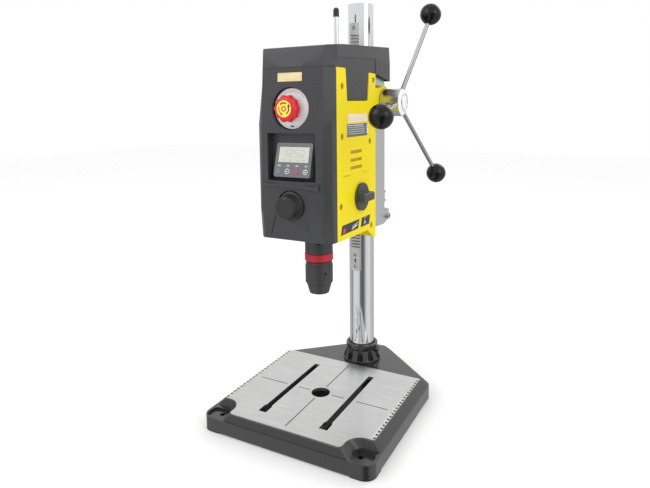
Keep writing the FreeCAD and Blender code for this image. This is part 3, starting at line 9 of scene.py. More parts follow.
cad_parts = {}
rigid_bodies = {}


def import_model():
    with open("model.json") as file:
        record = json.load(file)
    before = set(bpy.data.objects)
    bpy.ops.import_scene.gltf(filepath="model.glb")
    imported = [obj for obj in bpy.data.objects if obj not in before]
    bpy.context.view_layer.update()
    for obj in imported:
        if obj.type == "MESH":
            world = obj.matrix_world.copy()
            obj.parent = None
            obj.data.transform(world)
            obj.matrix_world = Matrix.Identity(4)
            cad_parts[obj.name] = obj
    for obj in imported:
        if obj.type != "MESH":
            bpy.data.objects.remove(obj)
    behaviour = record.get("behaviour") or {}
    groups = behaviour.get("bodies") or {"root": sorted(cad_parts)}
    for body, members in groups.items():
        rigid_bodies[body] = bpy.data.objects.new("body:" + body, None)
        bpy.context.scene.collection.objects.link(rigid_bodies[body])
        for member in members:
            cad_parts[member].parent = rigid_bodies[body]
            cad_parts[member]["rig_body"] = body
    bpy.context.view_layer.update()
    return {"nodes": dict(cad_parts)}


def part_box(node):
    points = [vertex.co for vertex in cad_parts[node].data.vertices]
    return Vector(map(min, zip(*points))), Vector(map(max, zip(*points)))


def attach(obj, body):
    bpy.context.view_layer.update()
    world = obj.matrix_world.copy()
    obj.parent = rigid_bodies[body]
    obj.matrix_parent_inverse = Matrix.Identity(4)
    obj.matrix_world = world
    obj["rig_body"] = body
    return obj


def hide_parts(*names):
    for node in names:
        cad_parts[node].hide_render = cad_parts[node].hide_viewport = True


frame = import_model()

bl_info = {
    "name": "Bench Drill Press",
    "version": (1, 0, 0),
    "blender": (4, 5, 0),
    "location": "3D View > Sidebar > Drill Press",
    "description": "Dresses the drill press frame with its castings, covers, controls and finishes",
    "category": "Add Mesh",
}

# Lengths in the piece code are millimetres in the frame's own axes, and MM turns them into metres.
MM = 0.001

HEAD_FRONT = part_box("front_cover")[0].y / MM
COVER_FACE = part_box("side_cover_right")[1].x / MM
TABLE_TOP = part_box("table_plate")[1].z / MM
DIAL_HEIGHT = 570.0
KNOB_HEIGHT = 410.0
SELECTOR_AT = (29.4, 412.5)
FEED_HEIGHT = 580.0

# Edges that turn by more than this many degrees are creased and rounded, unless a piece says otherwise.
SHARP = 38.0
CIRCLE_STEPS = 64


# --------------------------------------------------------------------------------------------------
# Settings
# --------------------------------------------------------------------------------------------------

def colour(name, description, default):
    return bpy.props.FloatVectorProperty(
        name=name, description=description, default=default, size=3, min=0.0, max=1.0, subtype="COLOR")


class PressFinishes(bpy.types.PropertyGroup):
    """Colours of the drill press."""

    casting: colour("Casting paint", "Gloss paint on the base and the column socket", (0.014, 0.014, 0.015))
    housing: colour("Housing", "Grey moulding of the head", (0.040, 0.041, 0.044))
    cover: colour("Side covers", "Yellow moulding of the side covers", (0.86, 0.70, 0.000))
    table: colour("Table", "Ground aluminium of the table plate", (0.72, 0.72, 0.715))
    stop: colour("Stop knob", "Red moulding of the stop knob", (0.22, 0.003, 0.009))
    chuck: colour("Chuck", "Blackened steel of the chuck", (0.013, 0.013, 0.0145))


class PressSizes(bpy.types.PropertyGroup):
    """Sizes of the details that are added to the frame."""

    edge: bpy.props.FloatProperty(
        name="Edge rounding", description="Radius that moulded and machined edges are rounded to",
        default=0.0006, min=0.0001, max=0.003, unit="LENGTH")
    cast_edge: bpy.props.FloatProperty(
        name="Casting edge rounding", description="Radius that the base casting's edges are rounded to",
        default=0.0024, min=0.0005, max=0.006, unit="LENGTH")
    print_height: bpy.props.FloatProperty(
        name="Print height", description="How far printed marks stand above their surface",
        default=0.00008, min=0.00002, max=0.0004, unit="LENGTH")
    emboss: bpy.props.FloatProperty(
        name="Embossing", description="How far the moulded lines stand above the side covers",
        default=0.0003, min=0.0001, max=0.001, unit="LENGTH")
    lobes: bpy.props.IntProperty(
        name="Stop knob lobes", description="Number of finger lobes round the stop knob", default=10,
        min=5, max=20)


class PressStage(bpy.types.PropertyGroup):
    """Light, floor and camera."""

    soft_light: bpy.props.FloatProperty(
        name="Soft light", description="Strength of the even light from all round", default=1.0, min=0.0,
        max=5.0)
    key_light: bpy.props.FloatProperty(
        name="Key light", description="Power of the large overhead panel", default=12.0, min=0.0,
        max=500.0, unit="POWER")
    focal_length: bpy.props.FloatProperty(
        name="Focal length", description="Focal length of the camera in millimetres", default=30.53,
        min=10.0, max=200.0)


def finishes():
    return bpy.context.scene.press_finishes


def sizes():
    return bpy.context.scene.press_sizes


# --------------------------------------------------------------------------------------------------
# Shared effects, as shader node groups
# --------------------------------------------------------------------------------------------------

def group_with(name, inputs, outputs):
    """An empty shader group with float inputs (name, default) and outputs (name, socket type)."""
    group = bpy.data.node_groups.new(name, "ShaderNodeTree")
    for label, default in inputs:
        socket = group.interface.new_socket(label, in_out="INPUT", socket_type="NodeSocketFloat")
        socket.default_value = default
    for label, kind in outputs:
        group.interface.new_socket(label, in_out="OUTPUT", socket_type=kind)
    return group, group.nodes.new("NodeGroupInput"), group.nodes.new("NodeGroupOutput")


def add(tree, kind, **settings):
    node = tree.nodes.new(kind)
    for name, value in settings.items():
        setattr(node, name, value)
    return node


def wire(tree, *pairs):
    """Links each (node, output, node, input)."""
    for giver, output, taker, entry in pairs:
        tree.links.new(giver.outputs[output], taker.inputs[entry])


def ramp(tree, low, high):
    """A smooth map from low..high to 0..1."""
    node = add(tree, "ShaderNodeMapRange", interpolation_type="SMOOTHSTEP")
    node.inputs["From Min"].default_value = low
    node.inputs["From Max"].default_value = high
    return node


def noise(tree, scale, detail=3.0, roughness=0.55):
    node = add(tree, "ShaderNodeTexNoise")
    node.inputs["Scale"].default_value = scale
    node.inputs["Detail"].default_value = detail
    node.inputs["Roughness"].default_value = roughness
    return node


def send_mask(group, mask, source, sink):
    """Sends a mask out of its group, times the group's Amount."""
    share = add(group, "ShaderNodeMath", operation="MULTIPLY")
    group.links.new(mask, share.inputs[0])
    group.links.new(source.outputs["Amount"], share.inputs[1])
    group.links.new(share.outputs["Value"], sink.inputs["Mask"])


def surface_grain_group():
    """Fine grain as a height, and a slow drift of tone across the surface."""
    group, source, sink = group_with(
        "surface_grain", [("Fineness", 900.0), ("Drift", 9.0)],
        [("Height", "NodeSocketFloat"), ("Tone", "NodeSocketFloat")])
    place = add(group, "ShaderNodeTexCoord")
    fine, slow = noise(group, 900.0, 4.0), noise(group, 9.0, 3.0)
    spread = ramp(group, 0.32, 0.68)
    for node, label in ((fine, "Fineness"), (slow, "Drift")):
        group.links.new(place.outputs["Object"], node.inputs["Vector"])
        group.links.new(source.outputs[label], node.inputs["Scale"])
    wire(group, (slow, "Fac", spread, "Value"), (fine, "Fac", sink, "Height"),
         (spread, "Result", sink, "Tone"))
    return group


def handling_marks_group():
    """Wiped smudges and finger marks as a mask."""
    group, source, sink = group_with(
        "handling_marks", [("Size", 14.0), ("Amount", 0.5)], [("Mask", "NodeSocketFloat")])
    place = add(group, "ShaderNodeTexCoord")
    stretch = add(group, "ShaderNodeMapping")
    stretch.inputs["Rotation"].default_value = (0.3, 0.2, 0.7)
    stretch.inputs["Scale"].default_value = (1.0, 0.35, 1.4)
    cloud = noise(group, 14.0, 5.0, 0.62)
    cloud.inputs["Distortion"].default_value = 0.8
    spread = ramp(group, 0.42, 0.72)
    wire(group, (place, "Object", stretch, "Vector"), (stretch, "Vector", cloud, "Vector"),
         (source, "Size", cloud, "Scale"), (cloud, "Fac", spread, "Value"))
    send_mask(group, spread.outputs["Result"], source, sink)
    return group


def machined_lines_group():
    """Straight lines left by grinding, drawing or turning, as a height and a streak mask."""
    group, source, sink = group_with(
        "machined_lines", [("Across X", 900.0), ("Across Y", 12.0), ("Across Z", 900.0)],
        [("Height", "NodeSocketFloat"), ("Streak", "NodeSocketFloat")])
    place = add(group, "ShaderNodeTexCoord")
    scale = add(group, "ShaderNodeCombineXYZ")
    stretch = add(group, "ShaderNodeVectorMath", operation="MULTIPLY")
    lines = noise(group, 1.0, 3.0, 0.7)
    spread = ramp(group, 0.35, 0.65)
    for axis in "XYZ":
        group.links.new(source.outputs[f"Across {axis}"], scale.inputs[axis])
    wire(group, (place, "Object", stretch, 0), (scale, "Vector", stretch, 1),
         (stretch, "Vector", lines, "Vector"), (lines, "Fac", spread, "Value"),
         (lines, "Fac", sink, "Height"), (spread, "Result", sink, "Streak"))
    return group


def edge_wear_group():
    """Exposed edges, broken up by noise, as a mask."""
    group, source, sink = group_with(
        "edge_wear", [("Start", 0.53), ("Amount", 0.6)], [("Mask", "NodeSocketFloat")])
    shape = add(group, "ShaderNodeNewGeometry")
    place = add(group, "ShaderNodeTexCoord")
    patches = noise(group, 160.0, 4.0, 0.7)
    broken = ramp(group, 0.45, 0.62)
    past = add(group, "ShaderNodeMath", operation="SUBTRACT", use_clamp=True)
    steep = add(group, "ShaderNodeMath", operation="MULTIPLY", use_clamp=True)
    steep.inputs[1].default_value = 9.0
    both = add(group, "ShaderNodeMath", operation="MULTIPLY")
    wire(group, (place, "Object", patches, "Vector"), (patches, "Fac", broken, "Value"),
         (shape, "Pointiness", past, 0), (source, "Start", past, 1), (past, "Value", steep, 0),
         (steep, "Value", both, 0), (broken, "Result", both, 1))
    send_mask(group, both.outputs["Value"], source, sink)
    return group


def settled_dust_group():
    """Dust on faces that look up, as a mask."""
    group, source, sink = group_with("settled_dust", [("Amount", 0.15)], [("Mask", "NodeSocketFloat")])
    shape = add(group, "ShaderNodeNewGeometry")
    place = add(group, "ShaderNodeTexCoord")
    parts = add(group, "ShaderNodeSeparateXYZ")
    upward = ramp(group, 0.5, 1.0)
    specks = noise(group, 420.0, 5.0, 0.75)
    sparse = ramp(group, 0.5, 0.75)
    both = add(group, "ShaderNodeMath", operation="MULTIPLY")
    wire(group, (shape, "Normal", parts, "Vector"), (parts, "Z", upward, "Value"),
         (place, "Object", specks, "Vector"), (specks, "Fac", sparse, "Value"),
         (upward, "Result", both, 0), (sparse, "Result", both, 1))
    send_mask(group, both.outputs["Value"], source, sink)
    return group


GROUP_MAKERS = {
    "surface_grain": surface_grain_group,
    "handling_marks": handling_marks_group,
    "machined_lines": machined_lines_group,
    "edge_wear": edge_wear_group,
    "settled_dust": settled_dust_group,
}


def effect(tree, name, **values):
    """Places a shared effect in a material with its own values."""
    group = bpy.data.node_groups.get(name) or GROUP_MAKERS[name]()
    node = add(tree, "ShaderNodeGroup", node_tree=group)
    for label, value in values.items():
        node.inputs[label.replace("_", " ")].default_value = value
    return node


def blend_colours(tree, mask, first, second):
    """Mixes two colours, or a colour socket and a colour, by a mask socket."""
    node = add(tree, "ShaderNodeMix", data_type="RGBA")
    tree.links.new(mask, node.inputs["Factor"])
    for socket, value in ((node.inputs[6], first), (node.inputs[7], second)):
        if isinstance(value, bpy.types.NodeSocket):
            tree.links.new(value, socket)
        else:
            socket.default_value = (*value, 1.0)
    return node.outputs[2]


def span(tree, mask, low, high):
    """Maps a 0..1 mask to low..high."""
    node = add(tree, "ShaderNodeMapRange")
    node.inputs["To Min"].default_value = low
    node.inputs["To Max"].default_value = high
    tree.links.new(mask, node.inputs["Value"])
    return node.outputs["Result"]


GLOW_STRENGTH = 0.32

# What each finish is made of; a base given by name is one of the colours in the panel.
FINISHES = {
    "casting_paint": dict(base="casting", darker=0.85, rough=(0.20, 0.34), grain=(420.0, 0.00012), coat=0.5,
        wear=0.35, wear_colour=(0.14, 0.14, 0.14), dust=0.04),
    "ground_aluminium": dict(base="table", darker=0.90, rough=(0.30, 0.42), metallic=1.0, marks=0.5,
        lines=(14.0, 1100.0, 1100.0), line_depth=0.000006, line_tone=0.94, drift=16.0, dust=0.0),
    "polished_chrome": dict(base=(0.80, 0.81, 0.82), darker=0.95, rough=(0.05, 0.13), metallic=1.0,
        marks=0.8, lines=(1500.0, 1500.0, 30.0), line_depth=0.000002, line_tone=0.96, dust=0.0),
    "turned_chrome": dict(base=(0.66, 0.66, 0.65), darker=0.9, rough=(0.20, 0.30), metallic=1.0,
        lines=(30.0, 1200.0, 1200.0), line_depth=0.000003, line_tone=0.94, dust=0.0),
    "spoke_steel": dict(base=(0.40, 0.40, 0.41), darker=0.9, rough=(0.16, 0.26), metallic=1.0, dust=0.0),
    "zinc_steel": dict(base=(0.62, 0.62, 0.60), darker=0.82, rough=(0.24, 0.42), metallic=1.0,
        lines=(900.0, 900.0, 40.0), line_depth=0.00001, wear=0.4, wear_colour=(0.8, 0.8, 0.8)),
    "machined_steel": dict(base=(0.50, 0.50, 0.51), darker=0.82, rough=(0.25, 0.42), metallic=1.0,
        lines=(60.0, 60.0, 1600.0), line_depth=0.00001, wear=0.3, wear_colour=(0.75, 0.75, 0.75)),
    "housing_plastic": dict(base="housing", darker=0.90, rough=(0.36, 0.50), grain=(1300.0, 0.00006),
        wear=0.15, wear_colour=(0.14, 0.14, 0.145), dust=0.05),
    "cover_plastic": dict(base="cover", darker=0.95, rough=(0.38, 0.50), grain=(1000.0, 0.00003), wear=0.10,
        wear_colour=(0.92, 0.78, 0.06), dust=0.0, specular=0.18),
    # Painted shade: the baffle behind the vents is dark orange for the yellow cover in shade inside the vent
    # openings.
    "vent_baffle": dict(base=(0.60, 0.34, 0.008), darker=0.85, rough=(0.50, 0.62), grain=(900.0, 0.00002)),
    # Painted shade: the cover screws are coloured dark amber for the yellow recess in shade round them.
    "recess_screw": dict(base=(0.46, 0.28, 0.020), darker=0.80, rough=(0.40, 0.52), metallic=0.2,
        lines=(900.0, 900.0, 40.0), line_depth=0.00001, wear=0.3, wear_colour=(0.36, 0.26, 0.08)),
    "cast_aluminium": dict(base=(0.56, 0.57, 0.585), darker=0.84, rough=(0.42, 0.58),
        grain=(520.0, 0.00022), metallic=0.85, wear=0.3, wear_colour=(0.85, 0.85, 0.85), drift=14.0),
    "knob_black": dict(base=(0.003, 0.003, 0.0035), darker=0.85, rough=(0.05, 0.11),
        grain=(300.0, 0.000006), dust=0.0, specular=0.38),
    "control_black": dict(base=(0.018, 0.018, 0.019), darker=0.85, rough=(0.36, 0.50),
        grain=(1500.0, 0.00005), wear=0.2, wear_colour=(0.09, 0.09, 0.09)),
    "selector_grey": dict(base=(0.050, 0.051, 0.054), darker=0.88, rough=(0.34, 0.48),
        grain=(1500.0, 0.00005), wear=0.25, wear_colour=(0.13, 0.13, 0.13)),
    "stop_red": dict(base="stop", darker=0.82, rough=(0.20, 0.32), grain=(700.0, 0.00002), coat=0.3,
        wear=0.2, wear_colour=(0.34, 0.02, 0.03), dust=0.0),
    "chuck_black": dict(base="chuck", darker=0.80, rough=(0.30, 0.44), metallic=0.6,
        lines=(50.0, 50.0, 1800.0), line_depth=0.000012, wear=0.15, wear_colour=(0.12, 0.12, 0.125)),
    "chuck_red": dict(base=(0.11, 0.004, 0.010), darker=0.75, rough=(0.26, 0.38), metallic=0.5,
        lines=(40.0, 40.0, 1500.0), line_depth=0.00001, wear=0.1, wear_colour=(0.20, 0.03, 0.04)),
    "gloss_white": dict(base=(0.88, 0.88, 0.88), darker=0.95, rough=(0.16, 0.28), grain=(500.0, 0.00001),
        coat=0.4),
    "brass_foil": dict(base=(0.84, 0.72, 0.42), darker=0.90, rough=(0.30, 0.42), metallic=0.2,
        lines=(25.0, 1500.0, 1500.0), line_depth=0.000006, line_tone=0.88),
    "cream_print": dict(base=(0.88, 0.74, 0.58), darker=0.92, rough=(0.34, 0.46), grain=(900.0, 0.00001),
        drift=40.0),
    "grey_print": dict(base=(0.17, 0.17, 0.175), darker=0.9, rough=(0.30, 0.42), grain=(900.0, 0.00001),
        metallic=0.3),
    "dark_print": dict(base=(0.020, 0.020, 0.022), darker=0.9, rough=(0.28, 0.40), grain=(900.0, 0.00001)),
    "white_ink": dict(base=(0.80, 0.80, 0.78), darker=0.88, rough=(0.42, 0.55), grain=(1500.0, 0.00001),
        drift=60.0),
    "black_ink": dict(base=(0.010, 0.010, 0.010), darker=0.8, rough=(0.40, 0.52), grain=(1500.0, 0.00001),
        drift=60.0),
    "red_ink": dict(base=(0.62, 0.03, 0.05), darker=0.85, rough=(0.38, 0.50), grain=(1500.0, 0.00001),
        drift=60.0),
    "yellow_ink": dict(base=(0.90, 0.74, 0.08), darker=0.92, rough=(0.30, 0.42), grain=(1500.0, 0.00001),
        drift=60.0),
    "blue_ink": dict(base=(0.16, 0.26, 0.42), darker=0.88, rough=(0.38, 0.50), grain=(1500.0, 0.00001),
        drift=60.0),
    "bezel_gloss": dict(base=(0.145, 0.150, 0.160), darker=0.92, rough=(0.14, 0.26),
        grain=(600.0, 0.000008), coat=0.5),
    "scale_strip": dict(base=(0.74, 0.74, 0.72), darker=0.9, rough=(0.30, 0.44), grain=(900.0, 0.00001),
        metallic=0.4),
    "soft_rubber": dict(base=(0.014, 0.014, 0.014), darker=0.8, rough=(0.62, 0.78), grain=(800.0, 0.0001),
        dust=0.12),
    "board_green": dict(base=(0.02, 0.16, 0.06), darker=0.8, rough=(0.30, 0.42), grain=(700.0, 0.00003)),
    "lit_screen": dict(base=(0.44, 0.45, 0.40), darker=0.95, rough=(0.08, 0.16), grain=(300.0, 0.000002),
        coat=0.5, glow=((0.60, 0.60, 0.52), (0.84, 0.82, 0.72))),
    "screen_digit": dict(base=(0.44, 0.44, 0.39), darker=0.95, rough=(0.3, 0.4), grain=(900.0, 0.00001),
        drift=60.0),
}


def make_finish(name, base, darker=0.8, rough=(0.35, 0.5), grain=(900.0, 0.00003), metallic=0.0,
                coat=0.0, marks=0.5, lines=None, line_depth=0.00001, line_tone=0.92, wear=0.0,
                wear_colour=(0.5, 0.5, 0.5), dust=0.06, drift=9.0, specular=0.5, glow=None):
    """Two close tones, roughness from handling, grain or machined lines in relief, wear, dust and glow."""
    base = tuple(getattr(finishes(), base) if isinstance(base, str) else base)
    material = bpy.data.materials.new(name)
    material.use_nodes = True
    material.diffuse_color = (*base, 1.0)
    tree = material.node_tree
    shader = tree.nodes["Principled BSDF"]
    shader.inputs["Coat Weight"].default_value = coat
    shader.inputs["Coat Roughness"].default_value = 0.08
    shader.inputs["Specular IOR Level"].default_value = specular
    shader.inputs["Metallic"].default_value = metallic
    texture = effect(tree, "surface_grain", Fineness=grain[0], Drift=drift)
    smudge = effect(tree, "handling_marks", Amount=marks)
    tone = blend_colours(tree, texture.outputs["Tone"], [c * darker for c in base], base)
    height, depth = texture.outputs["Height"], grain[1]
    if lines:
        scored = effect(tree, "machined_lines", Across_X=lines[0], Across_Y=lines[1], Across_Z=lines[2])
        streaked = blend_colours(tree, scored.outputs["Streak"], [c * line_tone for c in base], base)
        both = add(tree, "ShaderNodeMix", data_type="RGBA", blend_type="MULTIPLY")
        both.inputs["Factor"].default_value = 0.5
        tree.links.new(tone, both.inputs[6])
        tree.links.new(streaked, both.inputs[7])
        tone = both.outputs[2]
        tone = blend_colours(tree, scored.outputs["Streak"], tone, base)
        height, depth = scored.outputs["Height"], line_depth
    if wear:
        edges = effect(tree, "edge_wear", Amount=wear)
        tone = blend_colours(tree, edges.outputs["Mask"], tone, wear_colour)
    if dust:
        settled = effect(tree, "settled_dust", Amount=dust)
        tone = blend_colours(tree, settled.outputs["Mask"], tone, (0.45, 0.44, 0.42))
    tree.links.new(tone, shader.inputs["Base Color"])
    tree.links.new(span(tree, smudge.outputs["Mask"], *rough), shader.inputs["Roughness"])
    bump = add(tree, "ShaderNodeBump")
    bump.inputs["Strength"].default_value = 1.0
    bump.inputs["Distance"].default_value = depth
    tree.links.new(height, bump.inputs["Height"])
    tree.links.new(bump.outputs["Normal"], shader.inputs["Normal"])
    if glow:
        cloud = effect(tree, "surface_grain", Fineness=60.0, Drift=28.0)
        light = blend_colours(tree, cloud.outputs["Tone"], *glow)
        tree.links.new(light, shader.inputs["Emission Color"])
        shader.inputs["Emission Strength"].default_value = GLOW_STRENGTH
    return material


def finish(name):
    """The finish of that name, made when it is first asked for."""
    return bpy.data.materials.get(name) or make_finish(name, **FINISHES[name])


# --------------------------------------------------------------------------------------------------
# Mesh helpers
# --------------------------------------------------------------------------------------------------

# How a face's own (across, up) and its depth stand in the frame's axes.
FACES = {
    "front": lambda a, b, d: Vector((a, d, b)) * MM,
    "side": lambda a, b, d: Vector((d, a, b)) * MM,
    "top": lambda a, b, d: Vector((a, b, d)) * MM,
}


def slab(bm, face, outline, start, end):
    """A closed plate with the given outline, from one depth to another."""
    place = FACES[face]
    near = [bm.verts.new(place(a, b, start)) for a, b in outline]
    far = [bm.verts.new(place(a, b, end)) for a, b in outline]
    bm.faces.new(near)
    bm.faces.new(list(reversed(far)))
    for index in range(len(outline)):
        following = (index + 1) % len(outline)
        bm.faces.new((near[index], far[index], far[following], near[following]))


def bar(bm, face, start_point, end_point, width, start, end):
    """A straight plate of a given width from one point to another."""
    run = Vector(end_point) - Vector(start_point)
    side = Vector((-run.y, run.x)).normalized() * width / 2
    corners = [Vector(start_point) - side, Vector(end_point) - side,
               Vector(end_point) + side, Vector(start_point) + side]
    slab(bm, face, [tuple(corner) for corner in corners], start, end)


def block(bm, face, low, high, start, end):
    slab(bm, face, [low, (high[0], low[1]), high, (low[0], high[1])], start, end)


def annulus(bm, face, centre, inner, outer, start, end, first=0.0, last=360.0, count=CIRCLE_STEPS):
    """A flat ring, or part of one, with a square section."""
    place = FACES[face]
    whole = abs(last - first) >= 360.0
    steps = count if whole else count + 1
    loops = []
    for step in range(steps):
        angle = math.radians(first + (last - first) * step / count)
        across, up = math.cos(angle), math.sin(angle)
        loops.append([bm.verts.new(place(centre[0] + across * radius, centre[1] + up * radius, depth))
                      for radius, depth in ((inner, start), (outer, start), (outer, end), (inner, end))])
    for step in range(steps if whole else steps - 1):
        here, ahead = loops[step], loops[(step + 1) % steps]
        for corner in range(4):
            nearby = (corner + 1) % 4
            bm.faces.new((here[corner], here[nearby], ahead[nearby], ahead[corner]))
    if not whole:
        bm.faces.new(loops[0])
        bm.faces.new(list(reversed(loops[-1])))


def disc(bm, face, centre, radius, start, end):
    turns = [2 * math.pi * step / CIRCLE_STEPS for step in range(CIRCLE_STEPS)]
    outline = [(centre[0] + radius * math.cos(turn), centre[1] + radius * math.sin(turn)) for turn in turns]
    slab(bm, face, outline, start, end)


def lathe(bm, profile, turn, count=96, lobes=0, lobe_depth=0.0):
    """A closed turned form from (distance along, radius) points; turn places its own +Z along the axis."""
    rows = []
    for along, radius, share in profile:
        if radius < 1e-6:
            rows.append([bm.verts.new(turn @ Vector((0, 0, along * MM)))])
            continue
        row = []
        for step in range(count):
            angle = 2 * math.pi * step / count
            reach = radius + share * lobe_depth * (math.cos(angle * lobes) - 1.0) if lobes else radius
            row.append(bm.verts.new(turn @ Vector((math.cos(angle) * reach * MM,
                                                   math.sin(angle) * reach * MM, along * MM))))
        rows.append(row)
    for here, ahead in zip(rows, rows[1:]):
        for step in range(count):
            nearby = (step + 1) % count
            if len(here) == 1:
                bm.faces.new((here[0], ahead[nearby], ahead[step]))
            elif len(ahead) == 1:
                bm.faces.new((here[step], here[nearby], ahead[0]))
            else:
                bm.faces.new((here[step], here[nearby], ahead[nearby], ahead[step]))


def round_edges(piece, width, segments, sharp):
    rounding = piece.modifiers.new("rounded_edges", "BEVEL")
    rounding.width = width
    rounding.segments = segments
    rounding.limit_method = "ANGLE"
    rounding.angle_limit = math.radians(sharp)
    weighted = piece.modifiers.new("even_shading", "WEIGHTED_NORMAL")
    weighted.keep_sharp = True
    weighted.weight = 100


def finish_mesh(bm, name, material, body, nodes=(), edge=None, sharp=SHARP, segments=2):
    """Makes the object, rounds its edges, shades it smooth and rides it on its body."""
    bmesh.ops.recalc_face_normals(bm, faces=bm.faces)
    for face in bm.faces:
        face.smooth = True
    mesh = bpy.data.meshes.new(name)
    bm.to_mesh(mesh)
    bm.free()
    mesh.set_sharp_from_angle(angle=math.radians(sharp))
    piece = bpy.data.objects.new(name, mesh)
    bpy.context.scene.collection.objects.link(piece)
    mesh.materials.append(finish(material))
    if edge:
        round_edges(piece, edge, segments, sharp)
    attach(piece, body)
    if nodes:
        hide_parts(*nodes)
    return piece


def node_mesh(node):
    """A node's shape with its split corners joined and its flat faces merged."""
    bm = bmesh.new()
    bm.from_mesh(frame["nodes"][node].data)
    bmesh.ops.remove_doubles(bm, verts=bm.verts, dist=2e-6)
    bmesh.ops.dissolve_limit(bm, angle_limit=math.radians(0.05), verts=bm.verts, edges=bm.edges,
                             delimit={"NORMAL"})
    return bm


def body_of_node(node):
    return frame["nodes"][node]["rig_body"]


def dress(node, material, edge=None, sharp=SHARP, segments=2):
    """Stands a rounded, smoothly shaded piece in for a node, with its own finish."""
    return finish_mesh(node_mesh(node), f"{node}_finished", material, body_of_node(node),
                       [node], edge, sharp, segments)


def carve(piece, cutter_bm):
    """Cuts a closed form out of a piece, before its edges are rounded."""
    mesh = bpy.data.meshes.new("cutter")
    bmesh.ops.recalc_face_normals(cutter_bm, faces=cutter_bm.faces)
    cutter_bm.to_mesh(mesh)
    cutter_bm.free()
    cutter = bpy.data.objects.new("cutter", mesh)
    bpy.context.scene.collection.objects.link(cutter)
    others = [(m.width, m.segments) for m in piece.modifiers if m.type == "BEVEL"]
    piece.modifiers.clear()
    cutting = piece.modifiers.new("carve", "BOOLEAN")
    cutting.operation = "DIFFERENCE"
    cutting.solver = "EXACT"
    cutting.use_self = True
    cutting.object = cutter
    bpy.context.view_layer.update()
    graph = bpy.context.evaluated_depsgraph_get()
    carved = bpy.data.meshes.new_from_object(piece.evaluated_get(graph))
    piece.modifiers.clear()
    piece.data = carved
    for polygon in carved.polygons:
        polygon.use_smooth = True
    carved.set_sharp_from_angle(angle=math.radians(SHARP))
    bpy.data.objects.remove(cutter)
    for width, segments in others:
        round_edges(piece, width, segments, SHARP)
    return piece


def numbers_mesh(bm, face, words, height, start, end, turned=False):
    """Flat printed numbers: words holds (text, across, up)."""
    for text, across, up in words:
        curve = bpy.data.curves.new("number", "FONT")
        curve.body = text
        curve.size = height
        curve.align_x = "CENTER"
        curve.align_y = "CENTER"
        curve.resolution_u = 2
        writer = bpy.data.objects.new("number", curve)
        bpy.context.scene.collection.objects.link(writer)
        bpy.context.view_layer.update()
        flat = bpy.data.meshes.new_from_object(
            writer.evaluated_get(bpy.context.evaluated_depsgraph_get()))
        part = bmesh.new()
        part.from_mesh(flat)
        bmesh.ops.remove_doubles(part, verts=part.verts, dist=1e-5)
        lifted = bmesh.ops.extrude_face_region(part, geom=part.faces[:])
        top = {v for v in lifted["geom"] if isinstance(v, bmesh.types.BMVert)}
        place = FACES[face]
        for vertex in part.verts:
            a, b = (-vertex.co.y, vertex.co.x) if turned else (vertex.co.x, vertex.co.y)
            vertex.co = place(across + a, up + b, end if vertex in top else start)
        made = bpy.data.meshes.new("number_part")
        part.to_mesh(made)
        part.free()
        bm.from_mesh(made)
        bpy.data.objects.remove(writer)
        for leftover in (flat, made):
            bpy.data.meshes.remove(leftover)


def print_height():
    return sizes().print_height / MM


# --------------------------------------------------------------------------------------------------
# Pieces
# --------------------------------------------------------------------------------------------------

def make_stand():
    edge, cast_edge = sizes().edge, sizes().cast_edge
    dress("base_casting", "casting_paint", cast_edge, sharp=32.0, segments=3)
    dress("column_socket", "casting_paint", edge * 2.5, sharp=32.0, segments=3)
    dress("rubber_feet", "soft_rubber", edge)
    dress("plate_screws", "zinc_steel", edge * 0.4)
    dress("socket_screw", "zinc_steel", edge * 0.5)


SCALE_INNER = 140.5
SCALE_OUTER = 149.5
SCALE_FRONT = -89.0
SCALE_BACK = 130.0


def make_table():
    """The ground plate, the dark filling of its engraved cross, and the two printed scales."""
    height = print_height()
    dress("table_plate", "ground_aluminium", sharp=5.0)
    dress("table_scales", "scale_strip", None)
    cross = bmesh.new()
    cross_half = 0.95
    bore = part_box("table_plate")
    reach_back, reach_front = bore[1].y / MM - 10.2, bore[0].y / MM + 10.2
    floor, lip = TABLE_TOP - 0.28, TABLE_TOP + 0.03
    for low, high in ((22.5, reach_back + 0.2), (reach_front - 0.2, -22.5)):
        block(cross, "top", (-cross_half, low), (cross_half, high), floor, lip)
    slots = 61.0
    for low, high in ((-134.6, -slots - 12.7), (-slots + 12.7, -22.7), (22.7, slots - 12.7),
                      (slots + 12.7, 134.6)):
        block(cross, "top", (low, -cross_half), (high, cross_half), floor, lip)
    finish_mesh(cross, "table_cross_ink", "black_ink", "stand")
    ticks = bmesh.new()
    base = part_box("table_scales")[1].z / MM
    words = []
    for side in (-1, 1):
        inner, outer = SCALE_INNER * side, SCALE_OUTER * side
        step = 0
        along = SCALE_FRONT + 1.0
        while along < SCALE_BACK:
            reach = 4.2 if step % 10 == 0 else 3.2 if step % 5 == 0 else 2.0
            low, high = sorted((inner + 0.4 * side, inner + reach * side))
            block(ticks, "top", (low, along - 0.16), (high, along + 0.16), base, base + height)
            if step % 10 == 0 and step:
                words.append((str(step), inner + 3.4 * side, along + 3.4))
            if step % 5 == 0:
                low, high = sorted((outer - 4.0 * side, outer - 0.2 * side))
                block(ticks, "top", (low, along - 2.6), (high, along + 2.6), base, base + height)
            step += 1
            along += 2.0
    numbers_mesh(ticks, "top", words, 2.6, base, base + height, turned=True)
    finish_mesh(ticks, "table_scale_marks", "black_ink", "stand")


